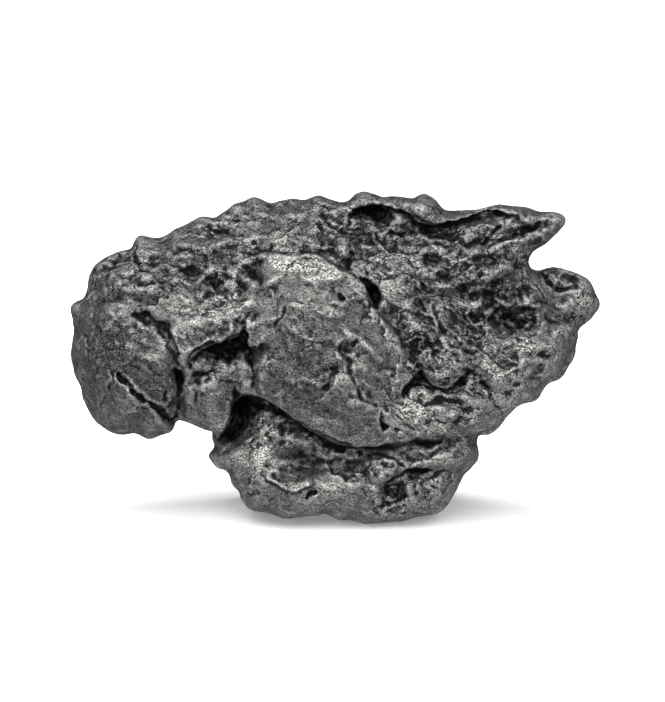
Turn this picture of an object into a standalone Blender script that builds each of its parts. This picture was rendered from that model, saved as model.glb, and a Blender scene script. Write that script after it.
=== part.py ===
"""An iron meteorite, one solid piece of folded and pitted nickel iron, standing on its narrow foot.

The stone is shaped upright: x runs across its broad face, z up the face and y away from the viewer, so a
height of the face is a distance towards -y. It is then leaned back on its foot and cut flat where it rests.
All the sizes below are millimetres, and the finished mesh is in metres.
"""

import math

import bmesh
import bpy
import numpy as np
from mathutils import Matrix, Vector, noise

MM = 0.001
LEAN = math.radians(15.0)  # the broad face looks up this much
FLOOR_FRONT = (0.0, 4.0)  # z and height of the face where the resting plane comes out at the front
SLAB_VOXEL = 0.8
BODY_VOXEL = 0.45
OUTLINE_STEP = 0.5
TRIANGLES = 9400

# Outlines, clockwise from the left end, as (x, z). Each mass is a rounded slab with its own outline.
BODY_OUTLINE = [
    (-39.8, 31.9), (-39.7, 32.6), (-38.9, 33.5), (-37.6, 34.3), (-37.1, 35.3), (-36.9, 37.2), (-36.0, 38.8),
    (-34.0, 40.25), (-32.0, 41.0), (-30.6, 41.5), (-30.1, 42.6), (-29.0, 43.35), (-26.7, 42.8), (-25.0, 43.4),
    (-23.6, 44.3), (-22.0, 45.0), (-20.6, 45.85), (-18.4, 45.8), (-16.0, 46.9), (-14.5, 48.1), (-12.1, 48.95),
    (-10.8, 48.6), (-9.8, 48.1), (-7.0, 48.4), (-4.1, 48.7), (-2.3, 49.1), (-0.5, 48.5), (0.7, 48.1),
    (2.1, 48.6), (3.0, 49.6), (4.2, 50.05), (6.0, 49.6), (7.2, 48.95), (10.0, 48.6), (12.0, 47.0),
    (14.0, 45.0), (17.0, 43.5), (20.0, 42.5), (24.0, 42.0), (26.5, 43.1), (28.2, 43.0), (29.2, 41.0),
    (29.1, 38.9), (30.5, 37.0), (32.0, 34.0), (33.5, 31.0), (36.0, 29.5), (35.6, 27.0), (34.3, 25.0),
    (33.0, 22.5), (32.3, 21.3), (31.1, 20.0), (30.1, 18.7), (28.4, 17.9), (26.7, 16.9), (25.4, 15.9),
    (24.6, 14.5), (23.1, 13.5), (21.2, 12.9), (18.0, 12.8), (15.0, 12.6), (12.0, 12.4), (9.5, 12.0),
    (6.0, 11.8), (3.0, 11.7), (1.0, 12.0), (-1.3, 12.8), (-4.2, 14.3), (-6.8, 16.4), (-9.2, 18.2),
    (-12.0, 19.1), (-14.2, 19.5), (-15.1, 20.3), (-15.4, 18.6), (-15.9, 15.9), (-16.5, 14.2), (-17.5, 13.2),
    (-18.5, 13.9), (-20.0, 14.4), (-22.2, 15.2), (-23.8, 16.2), (-24.0, 15.2), (-23.9, 14.2), (-25.7, 13.5),
    (-27.5, 12.7), (-29.0, 13.3), (-30.3, 13.5), (-32.0, 13.2), (-33.5, 13.7), (-35.6, 15.0), (-36.9, 17.0),
    (-37.7, 18.7), (-38.6, 22.0), (-39.2, 24.0), (-39.6, 26.0), (-39.2, 29.0), (-39.4, 30.4),
]
FOOT_OUTLINE = [
    (-18.8, 10.0), (-18.55, 10.7), (-18.0, 11.0), (-18.0, 12.2), (-15.0, 12.7), (-13.8, 14.2), (-13.1, 16.5),
    (-13.4, 18.5), (-12.0, 21.0), (0.0, 17.0), (10.0, 15.0), (19.0, 14.5), (20.95, 12.5), (21.5, 11.0),
    (21.5, 9.7), (20.3, 8.3), (19.3, 7.2), (18.3, 5.6), (17.1, 4.0), (16.5, 2.8), (15.0, 1.6),
    (12.0, 1.0), (8.0, 0.3), (5.0, -0.05), (3.6, 0.1), (2.4, 0.8), (0.3, 0.65), (-0.7, 1.2),
    (-1.2, 1.7), (-1.9, 1.35), (-4.5, 1.1), (-7.5, 0.75), (-9.0, 1.3), (-9.9, 1.7), (-12.3, 1.95),
    (-13.9, 3.2), (-15.0, 5.0), (-15.9, 7.0), (-17.0, 8.1), (-18.2, 8.6),
]
CORE_OUTLINE = [
    (-18.1, 11.3), (-18.4, 13.4), (-19.0, 20.0), (-12.0, 27.0), (8.0, 30.0), (20.0, 24.0), (21.0, 12.7),
    (19.0, 8.0), (0.0, 5.0), (-14.0, 7.0),
]
BLADE_OUTLINE = [
    (4.0, 47.0), (7.0, 48.9), (10.0, 48.85), (11.6, 48.9), (13.0, 49.4), (14.9, 48.7), (16.2, 47.1),
    (18.5, 46.9), (21.0, 47.1), (24.8, 47.7), (28.4, 47.4), (30.5, 46.85), (32.5, 46.85), (34.25, 46.2),
    (34.7, 45.0), (33.8, 44.0), (32.8, 42.9), (31.6, 41.8), (29.4, 41.0), (26.0, 40.0), (18.0, 38.5),
    (10.0, 38.5), (5.0, 42.0),
]
KNOB_OUTLINE = [
    (24.0, 36.0), (29.5, 38.5), (32.0, 38.5), (34.2, 38.3), (36.4, 37.4), (37.9, 36.0), (38.9, 34.4),
    (39.65, 32.9), (39.1, 31.7), (37.9, 30.2), (36.4, 29.2), (33.0, 27.5), (26.0, 27.0),
]
UNDER_OUTLINE = [
    (28.0, 31.0), (33.0, 31.0), (36.2, 29.0), (36.35, 26.8), (35.8, 24.9), (34.8, 23.3), (34.0, 21.8),
    (32.4, 21.35), (30.0, 20.5), (26.0, 24.0),
]

# Heights of the front and back faces as (x, z, height). The faces run smoothly through them.
BODY_FRONT = [
    (-38, 30, 7), (-37, 24, 8), (-36, 18, 7), (-33, 35, 9), (-33, 28, 11), (-32, 20, 11), (-31, 15, 9),
    (-28, 24, 12), (-28, 31, 10.5), (-27, 18, 11), (-28, 37, 8), (-33, 39, 5.5), (-28, 41, 6.5),
    (-22, 31, 12.5), (-20, 29, 13), (-17, 31.5, 12), (-17.5, 34.5, 9.5), (-22, 35, 10.5), (-22, 38, 8.5),
    (-24, 42, 6), (-21, 19, 11.5), (-18, 15, 11), (-17, 21, 11.5), (-17, 26, 10.5), (-10, 33, 11),
    (-6, 30, 14), (-5, 25, 15), (-8, 21, 14), (-3, 17, 14.5), (0, 22, 15.5), (0, 29, 14.5), (3, 14, 14),
    (6, 20, 14.5), (6, 26, 13.5), (-4, 36.5, 12.5), (-5, 40, 9), (-6, 45, 6), (2, 36, 11.5), (4, 31, 12.5),
    (-14, 40, 8), (-14, 45, 5.5), (-20, 42, 7), (0, 44, 6), (5, 43, 5), (5, 48.5, 7), (12, 44, 6),
    (8, 35, 10.5), (10, 31, 10.5), (10, 39, 8.5), (12, 27, 11.5), (16, 24, 12.5), (18, 31, 8.5),
    (24, 31, 6.5), (28, 30, 6.5), (18, 37, 9), (24, 36.5, 9), (27, 41, 9), (30, 34, 7), (24, 26.5, 9.5),
    (30, 26, 9), (27, 22.5, 11), (28, 19.5, 9), (20, 26, 10.5), (12, 19, 11), (16, 16, 12), (22, 17, 10.5),
    (15, 14, 12), (22, 14.5, 9.5), (9, 15, 13),
]
BODY_BACK = [
    (-35, 28, -7), (-29, 21, -9), (-28, 34, -9), (-15, 30, -13), (-5, 33, -15), (-5, 22, -14),
    (5, 38, -13), (8, 28, -15), (15, 35, -12), (20, 26, -12), (28, 30, -8), (24, 19, -9), (-12, 42, -9),
    (3, 46, -8), (14, 43, -8), (-20, 20, -10), (-28, 40, -6), (28, 38, -6), (0, 14, -15), (12, 14, -14),
]
FOOT_FRONT = [
    (-16, 10, 6), (-8, 14, 8.5), (-6, 9, 8.5), (-7, 4, 10), (0, 4, 10), (0, 9, 8.5), (6, 8, 10),
    (8, 3.5, 9), (13, 5, 9), (16, 9, 8.5), (19, 10, 7), (14, 11, 9.5), (-10, 18, 7), (0, 14, 8),
]
FOOT_BACK = [(-14, 8, -13), (0, 5, -17), (12, 6, -15.5), (0, 15, -16), (-12, 16, -12), (16, 14, -12)]


# Heights of the outermost line between the faces. The body overhangs the foot where its line stands forward.
BODY_EDGE = [
    (-39, 30, 1), (-35, 16, 2), (-26, 13.5, 3), (-18, 14, 7), (-15, 20, 9), (-9, 18.2, 10.5), (-4, 14.3, 11.5),
    (1, 12, 11.5), (9.5, 12, 11), (16, 12.8, 9), (22, 13, 5), (27, 17, 3), (32, 21, 1), (36, 28, 1),
    (30, 40, 2), (20, 42, 1), (5, 49, 2), (-8, 48, 1), (-20, 45.5, 1), (-30, 42.5, 1), (-37, 36, 1),
    (-25, 28, 1), (-5, 30, 2), (15, 30, 2),
]
FOOT_EDGE = [(-18, 10, 0), (-14, 4, 2), (-6, 1, 3), (4, 0, 3), (12, 1, 3), (18, 5, 1), (21, 11, 0), (0, 14, 0)]


def closed_curve(points, step=OUTLINE_STEP):
    """A smooth closed curve through the points, about one point a step apart."""
    knots = np.array(points, float)
    curve = []
    for i in range(len(knots)):
        a, b, c, d = (knots[(i + k) % len(knots)] for k in (-1, 0, 1, 2))
        count = max(2, int(np.linalg.norm(c - b) / step))
        for t in np.arange(count) / count:
            curve.append(
                0.5 * (2 * b + (c - a) * t + (2 * a - 5 * b + 4 * c - d) * t**2 + (3 * b - a - 3 * c + d) * t**3)
            )
    return np.array(curve)


def open_curve(points, steps=6):
    """A smooth open curve through the points."""
    knots = np.array(points, float)
    ends = np.vstack([2 * knots[0] - knots[1], knots, 2 * knots[-1] - knots[-2]])
    curve = []
    for i in range(1, len(ends) - 2):
        a, b, c, d = ends[i - 1 : i + 3]
        for t in np.arange(steps) / steps:
            curve.append(
                0.5 * (2 * b + (c - a) * t + (2 * a - 5 * b + 4 * c - d) * t**2 + (3 * b - a - 3 * c + d) * t**3)
            )
    curve.append(knots[-1])
    return np.array(curve)


def from_curve(spots, curve, closed):
    """Each spot's distance from the curve, counted positive left of travel, its share of the length, and the
    direction that points left there."""
    starts = curve if closed else curve[:-1]
    runs = (np.roll(curve, -1, axis=0) if closed else curve[1:]) - starts
    lengths = np.linalg.norm(runs, axis=1)
    before = np.concatenate([[0], np.cumsum(lengths)[:-1]]) / lengths.sum()
    best = np.full(len(spots), np.inf)
    side = np.ones(len(spots))
    share = np.zeros(len(spots))
    left = np.zeros((len(spots), 2))
    for start, run, length, sofar in zip(starts, runs, lengths, before):
        off = spots - start
        t = np.clip(off @ run / length**2, 0, 1)
        gap = np.linalg.norm(off - t[:, None] * run, axis=1)
        nearer = gap < best
        best[nearer] = gap[nearer]
        side[nearer] = np.where(run[0] * off[nearer, 1] > run[1] * off[nearer, 0], 1, -1)
        share[nearer] = sofar + t[nearer] * length / lengths.sum()
        left[nearer] = np.array([-run[1], run[0]]) / length
    return best * side, share, left


def ease(values, low, high):
    """0 below low, 1 above high and smooth between."""
    t = np.clip((values - low) / (high - low), 0, 1)
    return t * t * (3 - 2 * t)


def face_through(heights):
    """A thin plate that passes through the (x, z, height) points, as a function of spots on the face."""
    knots = np.array(heights, float)
    sites = knots[:, :2]

    def bend(gap):
        return gap**2 * np.log(np.maximum(gap, 1e-9))

    gaps = np.linalg.norm(sites[:, None] - sites[None], axis=2)
    flat = np.column_stack([np.ones(len(sites)), sites])
    system = np.block([[bend(gaps) + 2.0 * np.eye(len(sites)), flat], [flat.T, np.zeros((3, 3))]])
    weights = np.linalg.solve(system, np.concatenate([knots[:, 2], np.zeros(3)]))

    def height(spots):
        gaps = np.linalg.norm(spots[:, None] - sites[None], axis=2)
        return bend(gaps) @ weights[:-3] + np.column_stack([np.ones(len(spots)), spots]) @ weights[-3:]

    return height


def read(obj):
    """The mesh's points in millimetres, as x, z on the face and height of the face."""
    raw = np.empty(len(obj.data.vertices) * 3, np.float32)
    obj.data.vertices.foreach_get("co", raw)
    x, y, z = raw.reshape(-1, 3).T.astype(float) / MM
    return np.column_stack([x, z]), -y


def write(obj, spots, heights):
    raw = np.column_stack([spots[:, 0], -heights, spots[:, 1]]) * MM
    obj.data.vertices.foreach_set("co", raw.astype(np.float32).ravel())
    obj.data.update()


def apply_modifiers(obj):
    graph = bpy.context.evaluated_depsgraph_get()
    made = bpy.data.meshes.new_from_object(obj.evaluated_get(graph))
    obj.modifiers.clear()
    old, obj.data = obj.data, made
    bpy.data.meshes.remove(old)


def remesh(obj, voxel, smoothing=0):
    """Blender's voxel remesh, which also joins overlapping masses into one skin."""
    grid = obj.modifiers.new("grid", "REMESH")
    grid.mode = "VOXEL"
    grid.voxel_size = voxel * MM
    if smoothing:
        soften = obj.modifiers.new("soften", "SMOOTH")
        soften.factor = 0.5
        soften.iterations = smoothing
    apply_modifiers(obj)


def mass(name, outline, front, back, edge, rim, back_squareness=2):
    """A slab with this outline whose faces run through the front and back heights, round for rim inwards.

    Its outermost line lies at the height edge, between the two faces. A squareness of 2 turns the rim round,
    and more makes a fuller corner.
    """
    curve = closed_curve(outline)
    shape = bmesh.new()
    loop = [shape.verts.new((x * MM, 0, z * MM)) for x, z in curve]
    face = shape.faces.new(loop)
    lifted = bmesh.ops.extrude_face_region(shape, geom=[face])["geom"]
    bmesh.ops.translate(shape, verts=[v for v in lifted if isinstance(v, bmesh.types.BMVert)], vec=(0, 2 * MM, 0))
    bmesh.ops.translate(shape, verts=shape.verts, vec=(0, -MM, 0))
    bmesh.ops.recalc_face_normals(shape, faces=shape.faces)
    mesh = bpy.data.meshes.new(name)
    shape.to_mesh(mesh)
    shape.free()
    obj = bpy.data.objects.new(name, mesh)
    bpy.context.scene.collection.objects.link(obj)
    remesh(obj, SLAB_VOXEL)
    spots, heights = read(obj)
    inside, _, _ = from_curve(spots, curve, closed=True)
    power = np.where(heights > 0, 2, back_squareness)
    turn = (1 - (1 - np.clip(np.abs(inside) / rim, 0.02, 1)) ** power) ** (1 / power)
    high, low, middle = front(spots), back(spots), edge(spots)
    reach = np.where(heights > 0, high - middle, middle - low)
    write(obj, spots, middle + np.clip(heights, -1, 1) * reach * turn)
    return obj


def level(height):
    return lambda spots: np.full(len(spots), float(height))


class Face:
    """One broad face of the stone, with the strokes that work its skin in and out."""

    def __init__(self, obj, facing):
        self.obj = obj
        self.facing = facing
        self.spots, self.heights = read(obj)
        raw = np.empty(len(self.spots) * 3, np.float32)
        obj.data.vertex_normals.foreach_get("vector", raw)
        self.turned = ease(-facing * raw.reshape(-1, 3)[:, 1].astype(float), 0.0, 0.35)
        self.lift = np.zeros(len(self.spots))
        self.slide = np.zeros((len(self.spots), 2))

    def near(self, points, margin):
        """The points of this face close to the given ones."""
        inside = (self.spots > points.min(axis=0) - margin) & (self.spots < points.max(axis=0) + margin)
        return np.flatnonzero(inside.all(axis=1) & (self.turned > 0))

    def ledge(self, path, lip, drop, reach=2.2, gap=1.4, lean=0.4):
        """A lip along the left of the path that leans over a lower skin on its right."""
        curve = open_curve(path)
        picks = self.near(curve, 3 * max(reach, gap))
        across, share, left = from_curve(self.spots[picks], curve, closed=False)
        ends = ease(np.minimum(share, 1 - share), -0.02, 0.15)
        high = ease(across, -0.45, 0.45)
        away = np.abs(across)
        self.lift[picks] += ends * lip * np.exp(-away / reach) * high
        self.lift[picks] -= ends * drop * np.exp(-((away / gap) ** 1.6)) * (1 - high)
        self.slide[picks] -= left * (ends * lean * high * np.exp(-((away / 1.1) ** 2)))[:, None]

    def ridge(self, path, width, height):
        """A rounded ridge along the path, or a groove where the height is negative."""
        curve = open_curve(path)
        picks = self.near(curve, 3 * width)
        across, share, _ = from_curve(self.spots[picks], curve, closed=False)
        ends = ease(np.minimum(share, 1 - share), -0.02, 0.15)
        self.lift[picks] += ends * height * np.exp(-((across / width) ** 2))

    def patch(self, outline, height, edge=1.0):
        """A raised or sunken area, flat inside its sloped edge."""
        curve = closed_curve(outline)
        picks = self.near(curve, edge)
        across, _, _ = from_curve(self.spots[picks], curve, closed=True)
        around = np.roll(curve, -1, axis=0)
        clockwise = (curve[:, 0] * around[:, 1] - around[:, 0] * curve[:, 1]).sum() < 0
        self.lift[picks] += height * ease(-across if clockwise else across, -0.3 * edge, edge)

    def dome(self, x, z, wide, tall, height, turn=0):
        """A lump, or a hollow where the height is negative, with half sizes wide and tall."""
        away = self.spots - (x, z)
        angle = math.radians(turn)
        along = away @ (math.cos(angle), math.sin(angle)) / wide
        over = away @ (-math.sin(angle), math.cos(angle)) / tall
        self.lift += height * np.clip(1 - along**2 - over**2, 0, 1) ** 1.5

    def finish(self):
        self.heights += self.facing * self.lift * self.turned
        write(self.obj, self.spots + self.slide * self.turned[:, None], self.heights)


def work_left_lobe(face):
    crack = [(-24.0, 15.7), (-25.6, 16.4), (-26.8, 17.8), (-28.0, 18.5), (-29.8, 20.0), (-31.6, 21.6), (-32.4, 23.0)]
    face.ledge(crack, lip=0.5, drop=1.5, gap=0.9)
    face.ledge([(-31.5, 16.7), (-29.6, 17.1), (-28.8, 18.6)], lip=0.4, drop=0.8)
    face.ridge([(-24.2, 23.6), (-23.2, 21.8), (-23.3, 19.5), (-23.6, 17.2), (-23.9, 15.6)], 0.75, -2.2)
    face.ridge([(-22.5, 20.4), (-21.3, 20.9), (-20.7, 20.2), (-20.6, 18.9), (-20.8, 17.6)], 0.6, -0.8)
    face.patch(
        [
            (-30.0, 31.8), (-27.8, 31.5), (-26.0, 30.7), (-24.7, 30.0), (-24.3, 28.0), (-23.9, 26.0),
            (-23.0, 24.2), (-24.4, 25.4), (-25.2, 28.0), (-26.4, 28.5), (-27.6, 29.2), (-28.8, 30.2),
        ],
        -1.6,
    )  # fmt: skip
    face.dome(-29.5, 26.0, 5.0, 3.4, 0.9)
    face.dome(-27.0, 24.0, 2.8, 2.6, 0.8)
    face.dome(-33.5, 31.5, 3.0, 3.0, 0.7)
    face.dome(-32.0, 17.5, 3.5, 2.8, 0.7)
    face.dome(-27.0, 15.2, 2.4, 1.6, 0.6)
    face.ridge([(-37.9, 28.6), (-36.6, 26.4)], 0.6, -0.7)
    face.ridge([(-36.2, 33.0), (-33.5, 33.6), (-31.5, 33.0)], 0.8, -0.9)
    face.ridge([(-33.5, 36.0), (-30.0, 35.1), (-27.0, 34.9)], 0.9, 1.0)
    face.dome(-32.5, 38.9, 2.6, 1.3, -1.2, 25)
    face.dome(-35.2, 35.6, 1.6, 1.3, -1.0)


def work_fang_plate(face):
    face.ledge([(-24.9, 30.3), (-24.2, 28.3), (-23.7, 26.5), (-23.2, 25.0), (-22.0, 23.2)], lip=0.8, drop=0.8)
    arch = [
        (-22.0, 24.0), (-21.8, 25.3), (-20.2, 26.7), (-17.6, 27.7), (-15.2, 28.5), (-14.2, 29.0), (-13.6, 30.0),
    ]  # fmt: skip
    face.ledge(arch, lip=0.9, drop=1.6, gap=1.8, lean=0.7)
    face.patch(
        [
            (-21.7, 24.4), (-21.2, 26.0), (-19.0, 27.2), (-16.4, 28.1), (-14.3, 28.8), (-13.6, 29.4),
            (-13.0, 28.0), (-12.6, 26.2), (-13.2, 24.9), (-15.5, 24.5), (-17.5, 24.4), (-19.2, 24.4),
        ],
        -2.2,
        edge=1.3,
    )  # fmt: skip
    face.dome(-20.0, 22.2, 2.4, 1.5, -1.6, 10)
    face.dome(-16.2, 23.4, 1.8, 1.2, 0.7)
    face.dome(-17.5, 19.5, 2.6, 3.4, 0.6)
    face.ledge([(-14.2, 30.0), (-13.1, 28.0), (-12.6, 26.2), (-11.6, 26.6), (-9.8, 28.0)], lip=0.6, drop=1.2)
    face.ridge([(-12.8, 26.2), (-12.4, 24.2), (-12.2, 21.6), (-11.7, 19.6)], 0.7, -1.6)
    face.ridge([(-11.4, 25.4), (-11.1, 22.8), (-10.9, 19.6)], 0.7, 0.5)
    face.dome(-18.3, 33.0, 3.4, 2.4, -1.6, 20)
    face.ridge([(-20.6, 32.4), (-19.0, 31.0), (-16.7, 30.2), (-14.4, 30.9), (-12.9, 32.4)], 0.8, 0.7)


def work_centre(face):
    upper_edge = [
        (9.6, 23.4), (10.0, 25.5), (9.4, 27.6), (7.2, 30.2), (5.4, 32.4), (3.6, 35.6), (0.5, 37.8), (-2.5, 39.7),
        (-5.0, 40.2), (-8.0, 40.0), (-11.0, 40.2), (-14.0, 39.9),
    ]  # fmt: skip
    face.ledge(upper_edge, lip=0.6, drop=1.3, reach=3.0, gap=2.2)
    face.patch(
        [(3.2, 36.8), (4.6, 37.0), (5.4, 35.9), (7.0, 35.2), (7.2, 33.8), (6.8, 32.4), (5.6, 31.6), (4.8, 33.0)],
        -3.0,
        edge=0.9,
    )
    face.dome(2.0, 38.9, 1.3, 1.0, -1.8)
    face.dome(-1.5, 40.9, 2.0, 1.1, -1.8)
    face.dome(1.2, 41.4, 1.9, 2.2, 2.2)
    face.dome(0.5, 34.0, 1.1, 0.9, -0.9)
    face.ridge([(-3.9, 31.8), (-2.0, 31.9), (-0.5, 31.6), (1.4, 30.9)], 0.9, 0.6)
    face.ridge([(-7.2, 32.9), (-7.7, 31.2), (-8.5, 30.3), (-9.4, 28.6)], 0.6, -0.9)
    face.ridge([(-13.4, 31.2), (-12.6, 31.2), (-12.2, 29.8)], 0.6, -0.8)
    face.dome(-6.0, 33.0, 3.6, 2.6, 0.6)
    face.dome(-5.0, 27.0, 4.4, 3.4, 0.5)
    face.ridge([(0.1, 24.6), (-0.3, 22.6), (-0.9, 21.2), (-2.2, 19.2)], 0.6, -0.9)
    face.ledge([(6.2, 17.6), (4.4, 18.7), (3.0, 20.2), (1.6, 22.8), (1.3, 24.8), (0.4, 26.9)], lip=0.4, drop=0.8)
    face.dome(1.6, 26.2, 1.5, 1.0, -1.0)
    face.ridge([(0.4, 27.3), (3.3, 28.0), (4.6, 26.8), (6.2, 25.5), (7.8, 24.5)], 1.0, 0.8)
    face.ridge([(-8.0, 21.1), (-6.0, 21.6), (-3.8, 21.6), (-2.0, 20.8)], 1.0, 0.5)
    face.ridge([(-9.5, 19.9), (-7.0, 18.0), (-4.6, 16.1), (-1.8, 14.6), (1.2, 13.5)], 1.3, 0.7)
    face.ridge([(-9.5, 22.2), (-6.0, 19.6), (-2.6, 17.2), (1.0, 15.6)], 1.2, -0.5)
    for x, z, size in ((5.4, 15.7, 0.9), (7.3, 15.3, 1.0), (9.0, 14.0, 0.8), (7.6, 17.6, 0.9)):
        face.dome(x, z, size, size, -0.8)
    face.ledge([(9.0, 19.2), (10.2, 21.0), (12.0, 22.0), (12.6, 23.4)], lip=0.5, drop=1.2)


def work_top(face):
    face.patch(
        [(2.2, 46.2), (3.0, 46.9), (4.5, 47.5), (6.0, 47.7), (7.6, 47.2), (8.6, 46.0), (8.2, 44.8), (6.0, 44.7),
         (4.6, 45.6)],
        -3.2,
    )  # fmt: skip
    face.ridge([(-1.4, 47.4), (-1.5, 46.0), (-0.6, 45.0), (1.9, 44.2)], 0.8, -1.3)
    face.dome(-1.8, 43.0, 1.0, 1.4, -1.2)
    lip = [
        (1.8, 47.6), (4.0, 47.8), (7.0, 48.0), (10.0, 48.0), (11.6, 47.5), (12.6, 46.3), (14.5, 45.6), (17.0, 45.6),
        (19.5, 46.4), (22.5, 47.0), (26.0, 47.3),
    ]  # fmt: skip
    face.ledge(lip, lip=1.2, drop=2.2, reach=1.6, gap=2.2, lean=0.8)
    face.ridge([(9.0, 43.6), (14.0, 42.6), (19.0, 43.0)], 1.6, -1.4)
    face.ridge([(20.4, 41.2), (24.0, 42.2), (27.0, 43.2), (30.0, 44.4), (32.6, 45.5)], 0.7, -1.5)
    face.ridge([(24.6, 45.2), (23.0, 43.5), (21.5, 42.2), (19.2, 41.2)], 0.7, -1.1)
    face.dome(29.0, 45.6, 2.4, 1.0, 0.6, 10)


def work_upper_left(face):
    crest = [(-25.8, 41.5), (-24.9, 40.9), (-22.8, 41.8), (-19.9, 40.5), (-17.6, 41.6), (-14.6, 43.1)]
    face.ridge(crest, 0.9, 1.1)
    face.dome(-17.2, 43.8, 1.9, 1.1, -1.3, 15)
    face.dome(-22.0, 38.2, 2.3, 1.8, -1.7)
    face.ridge([(-24.9, 38.0), (-24.3, 39.7), (-22.6, 40.3), (-20.6, 39.6)], 0.7, 0.8)
    face.ridge([(-24.4, 37.4), (-22.6, 36.2), (-20.7, 36.0), (-19.4, 37.4)], 0.7, 0.8)
    face.dome(-17.9, 36.2, 1.6, 1.4, -1.2)
    face.dome(-13.8, 35.2, 1.1, 1.2, -1.1)
    face.dome(-12.6, 37.8, 3.0, 1.3, -1.6, 35)
    for x, z, size in ((-18.3, 38.5, 1.5), (-15.2, 37.3, 1.4), (-12.2, 35.6, 1.1), (-12.6, 33.0, 1.3)):
        face.dome(x, z, size, size, 1.0)
    face.ridge([(-11.0, 34.8), (-9.6, 36.2), (-8.0, 36.9)], 0.8, 0.7)
    for x, z, wide, tall in ((-9.5, 44.5, 2.6, 1.4), (-27.2, 39.2, 1.6, 1.1), (-14.6, 45.6, 1.6, 1.0)):
        face.dome(x, z, wide, tall, -1.0)
    for x, z, wide, tall in ((-28.0, 36.9, 2.0, 1.2), (-11.8, 42.6, 2.0, 1.2), (-6.0, 45.8, 2.4, 1.2)):
        face.dome(x, z, wide, tall, 0.9)


def work_right(face):
    face.dome(26.8, 30.6, 4.8, 2.7, -3.2)
    face.ridge([(24.6, 33.2), (27.0, 32.9), (29.0, 33.2), (30.4, 34.0)], 0.9, 0.9)
    pits = (
        (14.5, 39.4, 2.1, 1.1), (16.3, 37.0, 1.2, 1.0), (11.0, 36.0, 1.3, 1.0), (16.5, 29.4, 1.3, 1.1),
        (13.2, 26.2, 1.5, 1.0), (24.0, 36.2, 1.4, 1.1), (28.0, 34.9, 1.7, 1.1), (20.4, 34.2, 1.7, 1.2),
        (9.6, 41.2, 1.5, 1.0), (20.4, 30.8, 1.7, 1.2), (12.6, 32.2, 1.2, 1.4),
    )  # fmt: skip
    for x, z, wide, tall in pits:
        face.dome(x, z, wide, tall, -1.5)
    ridges = (
        [(18.2, 39.4), (19.5, 39.6), (20.3, 40.2), (21.8, 41.0)],
        [(21.6, 40.3), (24.0, 41.3), (26.0, 42.3), (28.0, 42.3), (29.0, 40.0)],
        [(21.6, 37.1), (23.5, 37.8), (25.0, 38.1), (27.0, 38.0)],
        [(14.2, 35.2), (16.5, 35.4), (18.2, 36.5), (20.5, 36.6), (22.0, 36.0), (23.6, 35.2)],
        [(12.8, 37.4), (14.5, 37.3), (15.2, 38.1), (16.2, 38.5)],
        [(18.0, 32.6), (20.5, 32.6), (22.4, 33.6)],
        [(10.6, 33.6), (10.8, 31.4), (12.4, 29.4), (14.6, 27.6)],
    )
    for path in ridges:
        face.ridge(path, 0.8, 1.0)
    face.ridge([(12.3, 36.2), (12.9, 34.8), (13.8, 32.8), (15.4, 29.8)], 0.7, -1.0)
    face.dome(16.2, 23.9, 3.7, 3.7, 2.2)
    moat = [(12.4, 24.6), (12.3, 22.6), (13.4, 20.8), (15.2, 20.0), (17.2, 20.3), (19.2, 22.2), (20.4, 24.0)]
    face.ridge(moat, 0.8, -1.5)
    face.dome(21.6, 20.9, 2.6, 1.9, -1.8, -20)
    face.ridge([(18.6, 20.4), (21.0, 19.6), (23.4, 18.8), (25.3, 17.0)], 0.6, -1.0)
    face.ridge([(18.6, 27.8), (20.4, 27.2), (22.4, 27.3)], 0.6, -0.9)
    for path in (
        [(23.0, 21.0), (26.0, 22.8), (28.4, 24.0)],
        [(27.2, 24.8), (29.5, 24.4), (32.4, 23.2)],
        [(17.2, 19.7), (19.0, 19.0), (20.5, 18.4), (22.3, 17.5)],
        [(12.8, 15.9), (14.0, 17.0), (15.5, 17.3), (17.0, 16.4), (18.4, 16.1)],
        [(18.6, 14.9), (21.0, 15.5), (22.8, 16.5)],
        [(28.8, 26.6), (31.0, 26.5), (33.2, 25.8)],
    ):
        face.ridge(path, 0.9, 1.1)
    for x, z, wide, tall in (
        (30.5, 23.3, 1.6, 0.8), (31.2, 25.4, 1.6, 0.7), (29.6, 21.6, 1.8, 1.2), (16.4, 18.3, 3.4, 1.0),
        (25.2, 19.8, 1.8, 1.0), (26.0, 25.8, 1.8, 1.1),
    ):  # fmt: skip
        face.dome(x, z, wide, tall, -1.3)
    for x, z, size in ((11.4, 19.6, 1.3), (11.6, 17.7, 1.2), (22.8, 24.6, 1.8), (22.6, 18.0, 1.2)):
        face.dome(x, z, size, size, 0.9)


def work_knob(face):
    face.ridge([(29.6, 38.8), (31.5, 36.5), (33.5, 34.3), (35.2, 32.8)], 0.8, -1.2)
    face.dome(35.0, 36.6, 1.5, 1.0, -1.0, -30)
    face.dome(33.4, 34.6, 1.1, 0.8, -0.8)
    face.ridge([(30.6, 30.8), (33.0, 30.7), (36.0, 30.9), (37.4, 30.1)], 0.6, -1.1)
    face.dome(33.6, 29.4, 2.0, 1.2, 0.6)
    face.ridge([(36.0, 29.3), (35.2, 27.0), (34.4, 25.0)], 0.6, -0.9)


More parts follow.
